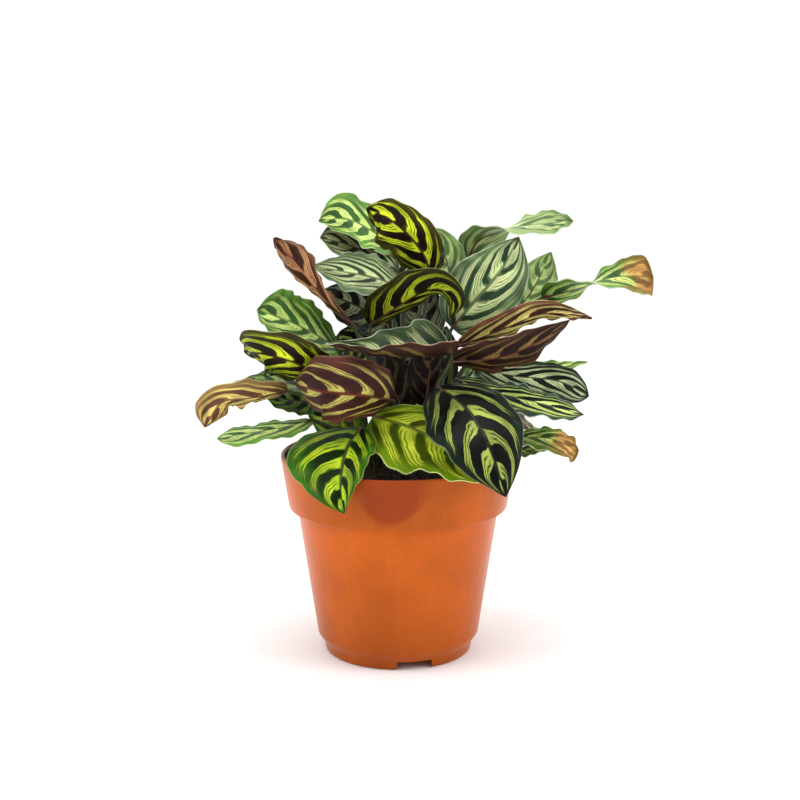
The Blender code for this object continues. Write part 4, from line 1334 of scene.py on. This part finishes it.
def add_softbox(name, place, size, power):
    """A soft square light that faces the middle of the plant."""
    deselect()
    bpy.ops.object.light_add(type="AREA", location=place)
    lamp = bpy.context.object
    lamp.name = name
    lamp.data.size = size
    lamp.data.energy = power
    aim = Vector((0.0, 0.0, 0.11)) - Vector(place)
    lamp.rotation_euler = aim.to_track_quat("-Z", "Y").to_euler()


def add_camera():
    """The camera at the eye of the front view that the leaves are laid out in."""
    deselect()
    bpy.ops.object.camera_add(
        location=(EYE_ACROSS * MM, -EYE_DISTANCE * MM, EYE_HEIGHT * MM),
        rotation=(0.5 * math.pi - EYE_PITCH, 0.0, 0.0))
    camera = bpy.context.object
    camera.name = "front_camera"
    camera.data.sensor_width = SENSOR_WIDTH
    camera.data.lens = SENSOR_WIDTH * EYE_FOCAL / (2.0 * EYE_CENTRE)
    camera.data.clip_start = 0.05
    camera.data.clip_end = 50.0
    bpy.context.scene.camera = camera


class PEACOCK_OT_stage(bpy.types.Operator):
    """Sets up the pale floor, the soft studio light and the camera"""

    bl_idname = "peacock.stage"
    bl_label = "Studio Stage"

    def execute(self, context):
        look = context.scene.peacock_stage
        deselect()
        bpy.ops.mesh.primitive_plane_add(size=40.0, location=(0.0, 0.0, -0.0004))
        floor = bpy.context.object
        floor.name = "studio_floor"
        floor.data.materials.append(floor_finish(look))
        context.scene.world = studio_surround(look)
        context.scene.view_settings.view_transform = "Standard"
        add_softbox("left_softbox", (-0.85, -0.25, 0.55), 0.6, look.side_light)
        add_softbox("right_softbox", (0.85, -0.25, 0.55), 0.6, look.side_light)
        add_softbox("top_softbox", (0.0, -0.2, 1.1), 0.7, look.top_light)
        add_camera()
        return {"FINISHED"}


# Controls

class PeacockPot(bpy.types.PropertyGroup):
    plastic: bpy.props.FloatVectorProperty(
        name="Plastic", description="Colour of the moulded pot", subtype="COLOR", size=4,
        min=0.0, max=1.0, default=linear((200, 93, 12)))
    roughness: bpy.props.FloatProperty(
        name="Pot Roughness", description="Mean roughness of the pot's satin surface",
        default=0.3, min=0.05, max=0.9, subtype="FACTOR")
    edge: bpy.props.FloatProperty(
        name="Edge Round", description="Width of the rounding along the pot's edges",
        default=0.0003, min=0.0001, max=0.0006, unit="LENGTH")
    earth: bpy.props.FloatVectorProperty(
        name="Soil", description="Colour of the moist soil", subtype="COLOR", size=4,
        min=0.0, max=1.0, default=linear((34, 24, 18)))
    lumps: bpy.props.FloatProperty(
        name="Lumps", description="Height of the lumps in the soil's top",
        default=0.0032, min=0.0, max=0.006, unit="LENGTH")


class PeacockLeaves(bpy.types.PropertyGroup):
    thickness: bpy.props.FloatProperty(
        name="Blade Thickness", description="Thickness of a leaf blade",
        default=0.00045, min=0.0002, max=0.0008, unit="LENGTH")
    ripple: bpy.props.FloatProperty(
        name="Edge Ripple", description="Share of each leaf's own edge ripple that is kept",
        default=1.0, min=0.0, max=2.0, subtype="FACTOR")
    pucker: bpy.props.FloatProperty(
        name="Pucker", description="Height of the soft folds between the side veins",
        default=0.00022, min=0.0, max=0.001, unit="LENGTH")
    seed: bpy.props.IntProperty(
        name="Seed", description="Picks the stripes and ripples of each leaf", default=5, min=0)


class PeacockStage(bpy.types.PropertyGroup):
    floor: bpy.props.FloatVectorProperty(
        name="Floor", description="Colour of the studio floor", subtype="COLOR", size=4,
        min=0.0, max=1.0, default=(0.97, 0.97, 0.97, 1.0))
    surround: bpy.props.FloatProperty(
        name="Surround", description="Strength of the even light from all round", default=1.2,
        min=0.0, max=5.0)
    front_light: bpy.props.FloatProperty(
        name="Front Light", description="Strength of the even light from in front", default=0.45,
        min=0.0, max=5.0)
    side_light: bpy.props.FloatProperty(
        name="Side Light", description="Power of each side softbox", default=3.0, min=0.0,
        unit="POWER")
    top_light: bpy.props.FloatProperty(
        name="Top Light", description="Power of the top softbox", default=3.0, min=0.0,
        unit="POWER")


class PEACOCK_PT_panel(bpy.types.Panel):
    """Lists the plant's sizes, colours and building steps"""

    bl_label = "Potted Peacock Plant"
    bl_idname = "PEACOCK_PT_panel"
    bl_space_type = "VIEW_3D"
    bl_region_type = "UI"
    bl_category = "Peacock Plant"

    def draw(self, context):
        for group, _, steps in GROUPS:
            box = self.layout.box()
            settings = getattr(context.scene, group)
            for name in settings.bl_rna.properties.keys():
                if name not in ("rna_type", "name"):
                    box.prop(settings, name)
            for step in steps:
                box.operator(step)


# Each group of settings on the scene, with the building steps that use it
GROUPS = (
    ("peacock_pot", PeacockPot, ("peacock.pot", "peacock.soil")),
    ("peacock_leaves", PeacockLeaves, ("peacock.leaves",)),
    ("peacock_stage", PeacockStage, ("peacock.stage",)),
)

CLASSES = (
    PEACOCK_OT_pot,
    PEACOCK_OT_soil,
    PEACOCK_OT_leaves,
    PEACOCK_OT_stage,
    PEACOCK_PT_panel,
)


def register():
    for name, group, _ in GROUPS:
        bpy.utils.register_class(group)
        setattr(bpy.types.Scene, name, bpy.props.PointerProperty(type=group))
    for kind in CLASSES:
        bpy.utils.register_class(kind)


def unregister():
    for kind in reversed(CLASSES):
        bpy.utils.unregister_class(kind)
    for name, group, _ in reversed(GROUPS):
        delattr(bpy.types.Scene, name)
        bpy.utils.unregister_class(group)


def main():
    """Build the plant, the pot and the stage."""
    register()
    bpy.ops.peacock.pot()
    bpy.ops.peacock.soil()
    bpy.ops.peacock.leaves()
    bpy.ops.peacock.stage()


if __name__ == "__main__":
    main()
